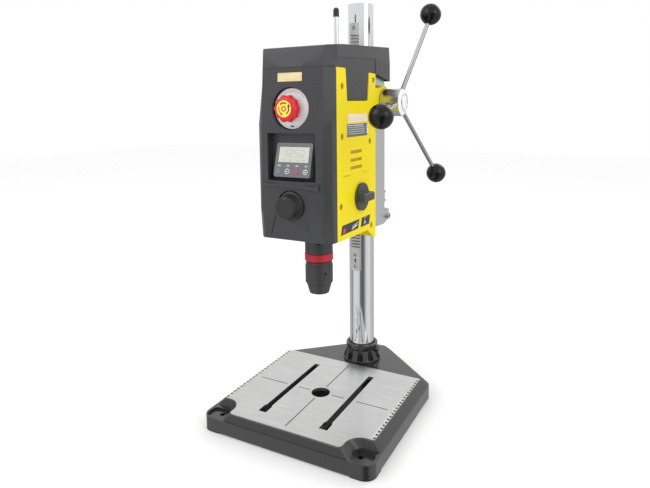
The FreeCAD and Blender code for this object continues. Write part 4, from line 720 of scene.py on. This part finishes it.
def make_column():
    dress("column_tube", "polished_chrome", sizes().edge, sharp=34.0)
    dress("column_rack", "zinc_steel", sizes().edge * 0.4, sharp=34.0)
    dress("rack_screws", "machined_steel", sizes().edge * 0.4)
    marks = bmesh.new()
    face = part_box("column_rack")[0].y / MM + 0.02
    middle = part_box("column_rack")[0].z / MM + 21.5
    outline = [(-3.4, 0.0), (-1.0, 0.0), (-1.0, -5.0), (1.0, -5.0), (1.0, 0.0), (3.4, 0.0), (0.0, 5.0)]
    slab(marks, "front", [(across, middle + up) for across, up in outline], face - print_height(), face)
    finish_mesh(marks, "rack_up_arrow", "black_ink", "stand")


def crease(points, depth):
    """A wedge cutter along (across, up, surface depth) points, widest in its middle."""
    bm = bmesh.new()
    rings = []
    for across, up, surface, width in points:
        rings.append([bm.verts.new(Vector((across + dx, y, up)) * MM) for dx, y in (
            (-width, surface - 4.0), (width, surface - 4.0), (width * 0.8, surface), (0.0, surface + depth),
            (-width * 0.8, surface))])
    for here, ahead in zip(rings, rings[1:]):
        for corner in range(5):
            nearby = (corner + 1) % 5
            bm.faces.new((here[corner], here[nearby], ahead[nearby], ahead[corner]))
    bm.faces.new(rings[0])
    bm.faces.new(list(reversed(rings[-1])))
    return bm


# The shallow panel let into each side of the cap, as (along, up).
CAP_RECESS = ((-79.0, 500.0), (98.5, 500.0), (98.5, 660.8), (-58.0, 652.0), (-64.0, 650.5))
RECESS_DEPTH = 0.9
RECESS_CLEAR = 3.0


def make_head_shell():
    edge = sizes().edge
    front = dress("front_cover", "housing_plastic", edge * 1.4, sharp=32.0)
    carve(front, crease([(-30.0, 396.0, HEAD_FRONT + 2.6, 0.5), (-37.0, 376.0, HEAD_FRONT + 4.5, 1.3),
                         (-44.0, 356.0, HEAD_FRONT + 7.0, 0.9)], 1.8))
    carve(front, crease([(26.0, 394.0, HEAD_FRONT + 2.8, 0.4), (29.0, 377.0, HEAD_FRONT + 4.4, 0.8),
                         (32.5, 360.0, HEAD_FRONT + 6.3, 0.5)], 0.5))
    carve(front, crease([(-35.6, 604.0, HEAD_FRONT + 2.1, 0.3), (-34.4, 588.0, HEAD_FRONT + 0.9, 0.7),
                         (-33.6, 575.0, HEAD_FRONT + 0.05, 0.3)], 0.8))
    lip = bmesh.new()
    under = [(-54.0, 446.0), (-54.0, 441.5), (52.5, 437.0), (52.5, 446.5), (48.0, 447.0), (47.0, 443.8)]
    slab(lip, "front", under, HEAD_FRONT - 0.9, HEAD_FRONT + 1.2)
    finish_mesh(lip, "display_sill", "housing_plastic", "head", edge=edge)
    cap = dress("top_cap", "housing_plastic", edge * 1.5, sharp=28.0, segments=3)
    for side in (-1, 1):
        recess = bmesh.new()
        near, far = sorted(((COVER_FACE - RECESS_DEPTH) * side, (COVER_FACE + RECESS_CLEAR) * side))
        slab(recess, "side", CAP_RECESS, near, far)
        carve(cap, recess)
    dress("bottom_cover", "control_black", edge)
    dress("head_carrier", "cast_aluminium", edge * 1.3, sharp=34.0)
    dress("clamp_bolt", "zinc_steel", edge * 0.5)
    dress("cable_gland", "soft_rubber", edge * 0.5)


VENT_ROWS = ((464.5, 470.0), (478.0, 483.5), (492.0, 497.5))
BAFFLE_DEPTHS = (3.2, 2.6)


def make_side_covers():
    edge = sizes().edge
    for side in ("right", "left"):
        dress(f"side_cover_{side}", "cover_plastic", edge * 1.2, sharp=34.0)
    # The screws' dark amber colour is painted shade of the yellow recesses they sit in.
    dress("cover_screws", "recess_screw", edge * 0.4)
    lift = sizes().emboss / MM
    for side, name in ((1, "right"), (-1, "left")):
        ribs = bmesh.new()
        near, far = sorted((COVER_FACE * side - 0.4 * side, (COVER_FACE + lift) * side))
        for low, high in VENT_ROWS + ((450.5, 456.0),):
            block(ribs, "side", (-45.0, high - 0.5), (-15.0, high), near, far)
            block(ribs, "side", (-38.0, low), (-15.0, low + 0.7), near, far)
            block(ribs, "side", (40.0, high - 0.4), (60.0, high + 0.3), near, far)
            block(ribs, "side", (56.0, low + 1.0), (66.0, low + 1.7), near, far)
            block(ribs, "side", (66.0, low - 0.6), (82.0, low + 0.1), near, far)
        block(ribs, "side", (-38.0, 455.3), (60.0, 456.0), near, far)
        finish_mesh(ribs, f"cover_ribs_{name}", "cover_plastic", "head")
        # The baffle behind the vent rows is coloured as painted shade, dark orange for the shaded inside of
        # the vents.
        shade = bmesh.new()
        near, far = sorted((COVER_FACE - depth) * side for depth in BAFFLE_DEPTHS)
        for low, high in VENT_ROWS:
            block(shade, "side", (-14.0, low - 0.5), (36.0, high + 0.5), near, far)
        finish_mesh(shade, f"vent_baffle_{name}", "vent_baffle", "head")


def islands_of(node):
    """The separate closed parts of a node, each with its middle in millimetres."""
    whole = node_mesh(node)
    left = set(whole.verts)
    found = []
    while left:
        start = left.pop()
        members, frontier = {start}, [start]
        while frontier:
            for joint in frontier.pop().link_edges:
                for vertex in joint.verts:
                    if vertex in left:
                        left.discard(vertex)
                        members.add(vertex)
                        frontier.append(vertex)
        middle = sum((v.co for v in members), Vector()) / len(members) / MM
        part = whole.copy()
        keep = {v.index for v in members}
        part.verts.ensure_lookup_table()
        bmesh.ops.delete(part, geom=[v for v in part.verts if v.index not in keep], context="VERTS")
        found.append((middle, part))
    whole.free()
    return sorted(found, key=lambda entry: (-round(entry[0].z), entry[0].y))


def make_labels():
    """The name plate and the side labels, with plain bars and signs for their print."""
    height = print_height()
    edge = sizes().edge
    dress("name_plate", "brass_foil", edge * 0.3)
    relief = bmesh.new()
    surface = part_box("name_plate")[0].y / MM
    for low, high, drop in ((617.0, 619.5, 0.9), (622.0, 625.0, 0.45)):
        for start in range(-17, 16, 6):
            slope = surface + drop
            block(relief, "front", (start, low), (start + 4.2, high), slope - 0.25, slope + 0.4)
    finish_mesh(relief, "name_plate_relief", "cream_print", "head", edge=0.00008)
    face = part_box("side_labels")[1].x / MM
    labels = islands_of("side_labels")
    looks = (("sticker_label", "cream_print"), ("rating_label", "grey_print"),
             ("speed_label", "dark_print"), ("lock_label", "dark_print"))
    for index, ((_, part), (name, material)) in enumerate(zip(labels, looks)):
        finish_mesh(part, name, material, "head", ["side_labels"] if index == 0 else ())
    pale = bmesh.new()
    top = face + height
    draw = random.Random(4)
    for row, up in enumerate((541.2, 537.4, 533.8, 530.2, 526.6)):
        along = -21.5 + (4.0 if row == 4 else 0.0)
        end_of_row = 48.0 if row else 40.0
        while along < end_of_row:
            length = draw.uniform(3.0, 9.0)
            thick = 1.5 if row == 0 else 0.8
            block(pale, "side", (along, up - thick), (min(along + length, end_of_row), up), face, top)
            along += length + 1.4
    for up in (524.8, 530.4, 536.0):
        block(pale, "side", (56.0, up), (61.5, up + 4.2), face, top)
    bar(pale, "side", (-6.0, 364.5), (18.0, 368.6), 1.1, face, top)
    bar(pale, "side", (-8.0, 360.8), (14.0, 364.3), 2.2, face, top)
    bar(pale, "side", (46.0, 361.0), (46.6, 367.0), 3.0, face, top)
    bar(pale, "side", (42.5, 360.4), (51.5, 361.9), 1.0, face, top)
    bar(pale, "side", (43.0, 370.2), (54.0, 372.0), 1.0, face, top)
    finish_mesh(pale, "label_print_pale", "white_ink", "head")
    red = bmesh.new()
    slab(red, "side", [(-43.5, 358.3), (-34.0, 359.9), (-31.5, 368.0), (-41.0, 366.4)], face, top)
    finish_mesh(red, "label_print_red", "red_ink", "head")
    faint = bmesh.new()
    for up in (549.0, 553.0):
        for start in range(-16, 50, 11):
            block(faint, "side", (start, up), (start + 8.0, up + 0.7), face, top)
    finish_mesh(faint, "sticker_print", "brass_foil", "head")


def about_front(height):
    """Turns a lathe's own +Z onto -Y, with its zero on the front plane y = 0."""
    return Matrix.Translation(Vector((0.0, 0.0, height)) * MM) @ Matrix.Rotation(math.radians(90), 4, "X")


def make_dial_and_stop():
    edge = sizes().edge
    height = print_height()
    dress("dial_plate", "gloss_white", edge * 0.4)
    dress("stop_stem", "control_black", edge)
    dress("stop_switch", "control_black", edge)
    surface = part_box("dial_plate")[0].y / MM
    middle = (0.0, DIAL_HEIGHT)
    print_layer = (surface - height, surface)
    marks = bmesh.new()
    annulus(marks, "front", middle, 28.6, 29.0, *print_layer, first=35.0, last=145.0, count=48)
    annulus(marks, "front", middle, 26.2, 26.5, *print_layer, first=68.0, last=112.0, count=24)
    for angle in range(40, 145, 10):
        turn = math.radians(angle)
        reach = Vector((math.cos(turn), math.sin(turn)))
        centre = Vector(middle)
        bar(marks, "front", tuple(centre + reach * 27.4), tuple(centre + reach * 28.6), 0.35, *print_layer)
    finish_mesh(marks, "dial_marks", "grey_print", "head")
    # The black ring at the dial's rim is painted shade in the gap between the dial and its recess; the small
    # mark at the bottom is the dial's own notch.
    notch_and_rim_shade = bmesh.new()
    outline = [(-4.0, 540.6), (-1.6, 542.6), (0.0, 541.8), (1.6, 543.0), (4.0, 540.9), (0.0, 539.6)]
    slab(notch_and_rim_shade, "front", outline, *print_layer)
    annulus(notch_and_rim_shade, "front", middle, 33.2, 34.6, surface - 0.5, surface, count=96)
    finish_mesh(notch_and_rim_shade, "dial_notch", "black_ink", "head")
    low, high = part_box("stop_button")
    back, face = -high.y / MM, -low.y / MM
    body = bmesh.new()
    profile = [(back, 9.5, 0.0), (back, 19.6, 0.0), (back + 0.8, 20.6, 0.1), (back + 2.6, 20.8, 0.2),
               (back + 3.4, 22.4, 0.8), (back + 5.0, 22.9, 1.0), (face - 6.5, 22.2, 1.0),
               (face - 3.6, 20.8, 1.0), (face - 1.6, 18.4, 0.7), (face - 0.5, 16.4, 0.25),
               (face - 0.15, 14.9, 0.0), (face - 0.9, 14.2, 0.0), (face - 0.9, 0.0, 0.0)]
    lathe(body, profile, about_front(DIAL_HEIGHT), lobes=sizes().lobes, lobe_depth=1.15)
    hub = [v for v in body.verts if abs(-v.co.y / MM - back) < 0.01
           and (Vector((v.co.x, v.co.z - DIAL_HEIGHT * MM)).length / MM) < 10.0]
    bmesh.ops.contextual_create(body, geom=hub)
    finish_mesh(body, "stop_knob", "stop_red", "stop_button", ["stop_button"], sharp=50.0)
    sticker = bmesh.new()
    level = -face + 0.9
    disc(sticker, "front", middle, 13.6, level - 0.3, level)
    finish_mesh(sticker, "stop_sticker", "yellow_ink", "stop_button", edge=0.00008)
    top = (level - 0.3 - height, level - 0.3)
    signs = bmesh.new()
    annulus(signs, "front", middle, 8.3, 10.3, *top, first=-60.0, last=20.0, count=24)
    slab(signs, "front", [(6.6, 573.2), (11.8, 573.2), (9.0, 577.6)], *top)
    annulus(signs, "front", middle, 8.3, 10.3, *top, first=60.0, last=135.0, count=24)
    finish_mesh(signs, "stop_arrows_dark", "black_ink", "stop_button")
    ring = bmesh.new()
    annulus(ring, "front", middle, 2.6, 4.6, *top, count=40)
    annulus(ring, "front", middle, 8.3, 10.3, *top, first=160.0, last=235.0, count=24)
    slab(ring, "front", [(-7.2, 561.4), (-2.8, 564.2), (-3.4, 558.6)], *top)
    finish_mesh(ring, "stop_arrows_red", "red_ink", "stop_button")


def make_speed_and_selector():
    edge = sizes().edge
    face = -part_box("speed_knob")[0].y / MM
    body = bmesh.new()
    profile = [(90.0, 0.0, 0.0), (90.0, 23.4, 0.0), (90.6, 24.0, 0.0), (93.2, 24.0, 0.0),
               (94.0, 23.2, 0.0), (94.4, 20.9, 0.0), (95.2, 20.4, 1.0), (face - 2.0, 18.9, 1.0),
               (face - 0.8, 18.3, 0.4), (face - 0.2, 17.5, 0.0), (face, 16.4, 0.0),
               (face - 0.35, 12.0, 0.0), (face - 0.5, 0.0, 0.0)]
    lathe(body, profile, about_front(KNOB_HEIGHT), count=180, lobes=30, lobe_depth=0.22)
    finish_mesh(body, "speed_knob_finished", "control_black", "speed_knob", ["speed_knob"],
                sharp=50.0)
    pointer = bmesh.new()
    block(pointer, "front", (-0.5, KNOB_HEIGHT + 12.4), (0.5, KNOB_HEIGHT + 16.2), -face - 0.0,
          -face + 0.3)
    finish_mesh(pointer, "speed_pointer", "grey_print", "speed_knob")
    dress("speed_potentiometer", "machined_steel", edge * 0.4)
    dress("gear_selector", "selector_grey", edge * 1.2, sharp=36.0, segments=3)
    dress("selector_shaft", "machined_steel", edge * 0.4)
    groove = bmesh.new()
    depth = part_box("gear_selector")[0].x / MM
    annulus(groove, "side", SELECTOR_AT, 24.2, 24.9, depth + 4.9, depth + 5.2, count=96)
    finish_mesh(groove, "selector_rim", "control_black", "selector")


SEGMENTS = {
    "0": "abcdef", "1": "bc", "2": "abged", "5": "afgcd", "8": "abcdefg",
}


def digit(bm, face, text, left, low, wide, tall, thick, start, end):
    """One seven-bar digit."""
    right, high, middle = left + wide, low + tall, low + tall / 2
    gap = thick * 0.35
    runs = {
        "a": ((left + gap, high), (right - gap, high)), "g": ((left + gap, middle), (right - gap, middle)),
        "d": ((left + gap, low), (right - gap, low)), "f": ((left, middle + gap), (left, high - gap)),
        "b": ((right, middle + gap), (right, high - gap)), "e": ((left, low + gap), (left, middle - gap)),
        "c": ((right, low + gap), (right, middle - gap)),
    }
    for name in SEGMENTS[text]:
        bar(bm, face, *runs[name], thick, start, end)


DISPLAY_TILT = 15.0
PANEL_WIDE = 70.0
PANEL_TALL = 58.0
SCREEN_WIDE = 58.0
SCREEN_TALL = 26.0
SCREEN_GAP = 7.0
FRAME_GAP = 0.6
KEY_ACROSS = (9.0, 26.3, 43.7, 61.0)
KEY_UP = 9.5


def onto_panel(bm):
    """Moves details drawn on the panel's own plane to where the tilted panel stands."""
    low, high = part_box("display_bezel")
    turn = Matrix.Rotation(math.radians(-DISPLAY_TILT), 4, "X")
    foot = high.z - PANEL_TALL * MM * math.cos(math.radians(DISPLAY_TILT))
    place = Matrix.Translation(Vector((low.x, low.y, foot))) @ turn
    bm.transform(place)


def make_display():
    edge = sizes().edge
    dress("display_bezel", "bezel_gloss", edge * 0.8)
    dress("display_window", "lit_screen", None)
    dress("display_board", "board_green", edge * 0.3)
    screen_low = PANEL_TALL - SCREEN_TALL - SCREEN_GAP
    frame_lines = bmesh.new()
    left, right = (PANEL_WIDE - SCREEN_WIDE) / 2, (PANEL_WIDE + SCREEN_WIDE) / 2
    west, east = left - FRAME_GAP, right + FRAME_GAP
    south, north = screen_low - FRAME_GAP, screen_low + SCREEN_TALL + FRAME_GAP
    for start, end in (((west, south), (east, south)), ((west, north), (east, north)),
                       ((west, south), (west, north)), ((east, south), (east, north))):
        bar(frame_lines, "front", start, end, 0.7, -0.06, 0.1)
    for across in KEY_ACROSS:
        annulus(frame_lines, "front", (across, KEY_UP), 5.15, 5.5, -0.05, 0.1, count=48)
    onto_panel(frame_lines)
    finish_mesh(frame_lines, "panel_lines", "grey_print", "head")
    shown = bmesh.new()
    for index, text in enumerate("1250"):
        digit(shown, "front", text, left + 9.0 + index * 11.0, screen_low + 9.5, 6.4, 11.5, 1.0, 0.22, 0.3)
    for start in (6.0, 20.0, 34.0, 46.0):
        low = left + start
        block(shown, "front", (low, screen_low + 3.2), (low + 7.0, screen_low + 4.4), 0.22, 0.3)
    onto_panel(shown)
    finish_mesh(shown, "screen_digits", "screen_digit", "head")
    inks = ("blue_ink", "white_ink", "red_ink", "white_ink")
    for index, (across, ink) in enumerate(zip(KEY_ACROSS, inks)):
        dress(f"display_key_{index + 1}", "bezel_gloss", edge * 0.4)
        icon = bmesh.new()
        layer = (-0.56, -0.48)
        annulus(icon, "front", (across, KEY_UP), 3.5, 4.5, *layer, count=40)
        if index in (0, 2):
            annulus(icon, "front", (across, KEY_UP), 1.0, 2.0, *layer, count=24)
        elif index == 1:
            block(icon, "front", (across - 2.0, KEY_UP - 0.5), (across + 2.0, KEY_UP + 0.5), *layer)
        else:
            arrow = [(across - 1.2, KEY_UP - 1.8), (across + 1.9, KEY_UP), (across - 1.2, KEY_UP + 1.8)]
            slab(icon, "front", arrow, *layer)
        onto_panel(icon)
        finish_mesh(icon, f"key_icon_{index + 1}", ink, f"key_{index + 1}")
    captions = bmesh.new()
    for across in KEY_ACROSS:
        block(captions, "front", (across - 3.2, KEY_UP + 8.8), (across + 3.2, KEY_UP + 9.6), -0.06, 0.1)
        block(captions, "front", (across - 1.4, KEY_UP + 10.6), (across + 1.4, KEY_UP + 11.2), -0.06, 0.1)
    onto_panel(captions)
    finish_mesh(captions, "panel_captions", "white_ink", "head")


def make_chuck():
    edge = sizes().edge
    dress("chuck_body", "chuck_black", edge, sharp=34.0)
    dress("chuck_ring", "chuck_red", edge, sharp=34.0)
    dress("chuck_sleeve", "chuck_black", edge * 1.4, sharp=34.0, segments=3)
    for index in (1, 2, 3):
        dress(f"chuck_jaw_{index}", "machined_steel", edge * 0.4)
    dress("spindle", "machined_steel", edge * 0.6)


def make_ball_knobs():
    """Three polished balls, each with a flat collar where its spoke screws in."""
    low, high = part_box("feed_hub")
    hub = Vector((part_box("feed_spokes")[0].x, (low.y + high.y) / 2, FEED_HEIGHT * MM))
    balls = islands_of("ball_knobs")
    for index, (_, part) in enumerate(balls):
        corners = [Vector(tuple(pick(v.co[axis] for v in part.verts) for axis in range(3)))
                   for pick in (min, max)]
        part.free()
        reach = max(corners[1] - corners[0]) / 2
        radius = reach / MM
        inward = hub - (corners[0] + corners[1]) / 2
        centre = Vector(tuple(corners[0][axis] + reach if inward[axis] > 0 else corners[1][axis] - reach
                              for axis in range(3)))
        turn = Matrix.Translation(centre) @ inward.to_track_quat("Z", "Y").to_matrix().to_4x4()
        collar = math.radians(22)
        profile = [(-radius, 0.0, 0.0)]
        steps = 40
        for step in range(1, steps + 1):
            angle = math.pi - (math.pi - collar) * step / steps
            profile.append((radius * math.cos(angle), radius * math.sin(angle), 0.0))
        edge_along = radius * math.cos(collar)
        profile += [(edge_along + 0.7, radius * math.sin(collar) - 0.6, 0.0), (edge_along + 0.8, 4.1, 0.0),
                    (edge_along - 2.0, 4.0, 0.0), (edge_along - 2.0, 0.0, 0.0)]
        body = bmesh.new()
        lathe(body, profile, turn, count=72)
        finish_mesh(body, f"ball_knob_{index + 1}", "knob_black", "feed",
                    ["ball_knobs"] if index == 0 else (), sharp=50.0)


def make_feed():
    edge = sizes().edge
    dress("feed_shaft", "machined_steel", edge * 0.4)
    dress("shaft_ring", "zinc_steel", edge * 0.4)
    dress("feed_hub", "turned_chrome", None, sharp=44.0)
    dress("feed_spokes", "spoke_steel", None)
    make_ball_knobs()
    dress("hub_cap", "gloss_white", edge)
    low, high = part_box("hub_cap")
    middle = ((low.y + high.y) / 2 / MM, (low.z + high.z) / 2 / MM)
    trim = bmesh.new()
    annulus(trim, "side", middle, 15.0, 16.4, high.x / MM - 3.4, high.x / MM - 0.9, count=96)
    finish_mesh(trim, "hub_cap_trim", "polished_chrome", "feed", edge=edge * 0.5)
    dress("depth_rod", "polished_chrome", edge * 0.5)
    dress("depth_rod_cap", "control_black", edge, sharp=34.0)
    dress("rod_lock_screw", "control_black", edge * 0.8)


DRIVE_FINISHES = {
    "spindle_gear": "machined_steel", "spindle_bearings": "machined_steel",
    "gearbox_housing": "cast_aluminium", "gearbox_plate": "cast_aluminium", "layshaft": "machined_steel",
    "motor_housing": "zinc_steel", "armature": "machined_steel", "motor_fan": "control_black",
}


def make_drive():
    for node, material in DRIVE_FINISHES.items():
        dress(node, material, sizes().edge * 0.3)


# --------------------------------------------------------------------------------------------------
# Stage
# --------------------------------------------------------------------------------------------------

CAMERA_PLACE = (0.47973, -0.8579, 0.57037)
CAMERA_AROUND = 27.69
CAMERA_DOWN = 6.4
CAMERA_ROLL = -0.56
CAMERA_SHIFT = (-0.0115, -0.1140)


# The walls of the room as reflections see them, as (share of the way round, brightness).
ROOM_PANELS = (
    (0.0, 0.45), (0.035, 0.30), (0.075, 0.70), (0.15, 0.86), (0.225, 0.78), (0.27, 0.60), (0.30, 0.18),
    (0.36, 0.13), (0.395, 0.32), (0.44, 0.78), (0.52, 0.86), (0.60, 0.62), (0.70, 0.56), (0.80, 0.28),
    (0.90, 0.62), (0.97, 0.50),
)
OVERHEAD_WHITE = 0.92
FLOOR_REACH = 6.0
LAMP_AIM = (0.0, 0.05, 0.4)
# Each lamp's name, its share of the key light, its size and its place.
LAMPS = (("key_panel", 1.0, 1.6, (-1.1, -1.6, 2.1)), ("side_panel", 0.45, 1.2, (2.0, -0.4, 1.4)),
         ("rim_panel", 0.5, 1.0, (0.6, 2.0, 1.8)))


def make_soft_room(tree, strength):
    """A white room, whose darker panels show only in reflections."""
    sky = tree.nodes["Background"]
    ray = add(tree, "ShaderNodeLightPath")
    place = add(tree, "ShaderNodeTexCoord")
    parts = add(tree, "ShaderNodeSeparateXYZ")
    turn = add(tree, "ShaderNodeMath", operation="ARCTAN2")
    share = add(tree, "ShaderNodeMapRange")
    share.inputs["From Min"].default_value = -math.pi
    share.inputs["From Max"].default_value = math.pi
    panels = add(tree, "ShaderNodeValToRGB")
    panels.color_ramp.interpolation = "EASE"
    while len(panels.color_ramp.elements) < len(ROOM_PANELS):
        panels.color_ramp.elements.new(0.5)
    for element, (position, level) in zip(panels.color_ramp.elements, ROOM_PANELS):
        element.position = position
        element.color = (level, level, level, 1.0)
    overhead = add(tree, "ShaderNodeMapRange", interpolation_type="SMOOTHSTEP")
    overhead.inputs["From Min"].default_value = 0.03
    overhead.inputs["From Max"].default_value = 0.16
    wire(tree, (place, "Generated", parts, "Vector"), (parts, "Y", turn, 0), (parts, "X", turn, 1),
         (turn, "Value", share, "Value"), (share, "Result", panels, "Fac"),
         (parts, "Z", overhead, "Value"))
    walls = blend_colours(tree, overhead.outputs["Result"], panels.outputs["Color"], [OVERHEAD_WHITE] * 3)
    seen = blend_colours(tree, ray.outputs["Is Glossy Ray"], (1.0, 1.0, 1.0), walls)
    tree.links.new(seen, sky.inputs["Color"])
    sky.inputs["Strength"].default_value = strength


def make_stage():
    scene = bpy.context.scene
    look = scene.press_stage
    world = bpy.data.worlds.new("soft_room")
    scene.world = world
    world.use_nodes = True
    make_soft_room(world.node_tree, look.soft_light)
    scene.view_settings.view_transform = "Standard"
    bm = bmesh.new()
    bmesh.ops.create_grid(bm, x_segments=8, y_segments=8, size=FLOOR_REACH)
    mesh = bpy.data.meshes.new("floor")
    bm.to_mesh(mesh)
    bm.free()
    floor = bpy.data.objects.new("floor", mesh)
    scene.collection.objects.link(floor)
    material = bpy.data.materials.new("pale_floor")
    material.use_nodes = True
    tree = material.node_tree
    shader = tree.nodes["Principled BSDF"]
    cloud = noise(tree, 2.0, 2.0)
    shade = blend_colours(tree, cloud.outputs["Fac"], (0.965, 0.965, 0.965), (0.985, 0.985, 0.985))
    tree.links.new(shade, shader.inputs["Base Color"])
    shader.inputs["Roughness"].default_value = 0.85
    shader.inputs["Specular IOR Level"].default_value = 0.1
    mesh.materials.append(material)
    floor.visible_glossy = False
    for name, share, size, place in LAMPS:
        lamp = bpy.data.lights.new(name, "AREA")
        lamp.energy = look.key_light * share
        lamp.size = size
        holder = bpy.data.objects.new(name, lamp)
        holder.location = place
        holder.rotation_mode = "QUATERNION"
        holder.rotation_quaternion = (Vector(place) - Vector(LAMP_AIM)).to_track_quat("Z", "Y")
        scene.collection.objects.link(holder)
    camera_data = bpy.data.cameras.new("camera")
    camera_data.sensor_width = 36.0
    camera_data.lens = look.focal_length
    camera_data.shift_x, camera_data.shift_y = CAMERA_SHIFT
    camera_data.clip_start = 0.01
    camera_data.clip_end = 50.0
    camera = bpy.data.objects.new("camera", camera_data)
    around, down, roll = (math.radians(v) for v in (CAMERA_AROUND, CAMERA_DOWN, CAMERA_ROLL))
    back = Vector((math.sin(around) * math.cos(down), -math.cos(around) * math.cos(down), math.sin(down)))
    level = Vector((math.cos(around), math.sin(around), 0.0))
    rise = back.cross(level)
    right = math.cos(roll) * level + math.sin(roll) * rise
    up = -math.sin(roll) * level + math.cos(roll) * rise
    camera.rotation_mode = "QUATERNION"
    camera.rotation_quaternion = Matrix((right, up, back)).transposed().to_quaternion()
    camera.location = CAMERA_PLACE
    scene.collection.objects.link(camera)
    scene.camera = camera


# --------------------------------------------------------------------------------------------------
# Operators and panel
# --------------------------------------------------------------------------------------------------

class PRESS_OT_stand(bpy.types.Operator):
    """Dress the base casting, its feet and the column socket"""

    bl_idname = "press.stand"
    bl_label = "Base and Socket"

    def execute(self, context):
        make_stand()
        return {"FINISHED"}


class PRESS_OT_table(bpy.types.Operator):
    """Dress the ground table plate, its cross and its scales"""

    bl_idname = "press.table"
    bl_label = "Table Plate"

    def execute(self, context):
        make_table()
        return {"FINISHED"}


class PRESS_OT_column(bpy.types.Operator):
    """Dress the chromed column and its rack"""

    bl_idname = "press.column"
    bl_label = "Column and Rack"

    def execute(self, context):
        make_column()
        return {"FINISHED"}


class PRESS_OT_head_shell(bpy.types.Operator):
    """Dress the grey housing and the carrier behind it"""

    bl_idname = "press.head_shell"
    bl_label = "Head Housing"

    def execute(self, context):
        make_head_shell()
        return {"FINISHED"}


class PRESS_OT_side_covers(bpy.types.Operator):
    """Dress the side covers, with their embossed lines and screws"""

    bl_idname = "press.side_covers"
    bl_label = "Side Covers"

    def execute(self, context):
        make_side_covers()
        return {"FINISHED"}


class PRESS_OT_labels(bpy.types.Operator):
    """Add the name plate and the labels"""

    bl_idname = "press.labels"
    bl_label = "Labels"

    def execute(self, context):
        make_labels()
        return {"FINISHED"}


class PRESS_OT_dial(bpy.types.Operator):
    """Add the dial and the lobed stop knob"""

    bl_idname = "press.dial"
    bl_label = "Dial and Stop Knob"

    def execute(self, context):
        make_dial_and_stop()
        return {"FINISHED"}


class PRESS_OT_knobs(bpy.types.Operator):
    """Add the speed knob and the gear selector"""

    bl_idname = "press.knobs"
    bl_label = "Speed Knob and Selector"

    def execute(self, context):
        make_speed_and_selector()
        return {"FINISHED"}


class PRESS_OT_display(bpy.types.Operator):
    """Add the display panel with its screen and keys"""

    bl_idname = "press.display"
    bl_label = "Display"

    def execute(self, context):
        make_display()
        return {"FINISHED"}


class PRESS_OT_chuck(bpy.types.Operator):
    """Dress the chuck and the spindle"""

    bl_idname = "press.chuck"
    bl_label = "Chuck"

    def execute(self, context):
        make_chuck()
        return {"FINISHED"}


class PRESS_OT_feed(bpy.types.Operator):
    """Dress the feed handle and the depth rod"""

    bl_idname = "press.feed"
    bl_label = "Feed Handle and Depth Rod"

    def execute(self, context):
        make_feed()
        return {"FINISHED"}


class PRESS_OT_drive(bpy.types.Operator):
    """Dress the motor and the gears inside the head"""

    bl_idname = "press.drive"
    bl_label = "Motor and Gears"

    def execute(self, context):
        make_drive()
        return {"FINISHED"}


class PRESS_OT_stage(bpy.types.Operator):
    """Add the floor, the lights and the camera"""

    bl_idname = "press.stage"
    bl_label = "Stage"

    def execute(self, context):
        make_stage()
        return {"FINISHED"}


STEPS = (PRESS_OT_stand, PRESS_OT_table, PRESS_OT_column, PRESS_OT_head_shell, PRESS_OT_side_covers,
         PRESS_OT_labels, PRESS_OT_dial, PRESS_OT_knobs, PRESS_OT_display, PRESS_OT_chuck, PRESS_OT_feed,
         PRESS_OT_drive, PRESS_OT_stage)


class PRESS_PT_panel(bpy.types.Panel):
    """Sizes, finishes and steps of the drill press"""

    bl_idname = "PRESS_PT_panel"
    bl_label = "Drill Press"
    bl_space_type = "VIEW_3D"
    bl_region_type = "UI"
    bl_category = "Drill Press"

    def draw(self, context):
        for settings in (context.scene.press_sizes, context.scene.press_finishes, context.scene.press_stage):
            shown = self.layout.box()
            for name in settings.bl_rna.properties.keys():
                if name not in ("rna_type", "name"):
                    shown.prop(settings, name)
        for step in STEPS:
            self.layout.operator(step.bl_idname)


CLASSES = (PressFinishes, PressSizes, PressStage, *STEPS, PRESS_PT_panel)


def register():
    for kind in CLASSES:
        bpy.utils.register_class(kind)
    bpy.types.Scene.press_finishes = bpy.props.PointerProperty(type=PressFinishes)
    bpy.types.Scene.press_sizes = bpy.props.PointerProperty(type=PressSizes)
    bpy.types.Scene.press_stage = bpy.props.PointerProperty(type=PressStage)


def unregister():
    for name in ("press_finishes", "press_sizes", "press_stage"):
        delattr(bpy.types.Scene, name)
    for kind in reversed(CLASSES):
        bpy.utils.unregister_class(kind)


def main():
    register()
    for step in STEPS:
        group, name = step.bl_idname.split(".")
        getattr(getattr(bpy.ops, group), name)()


if __name__ == "__main__":
    main()
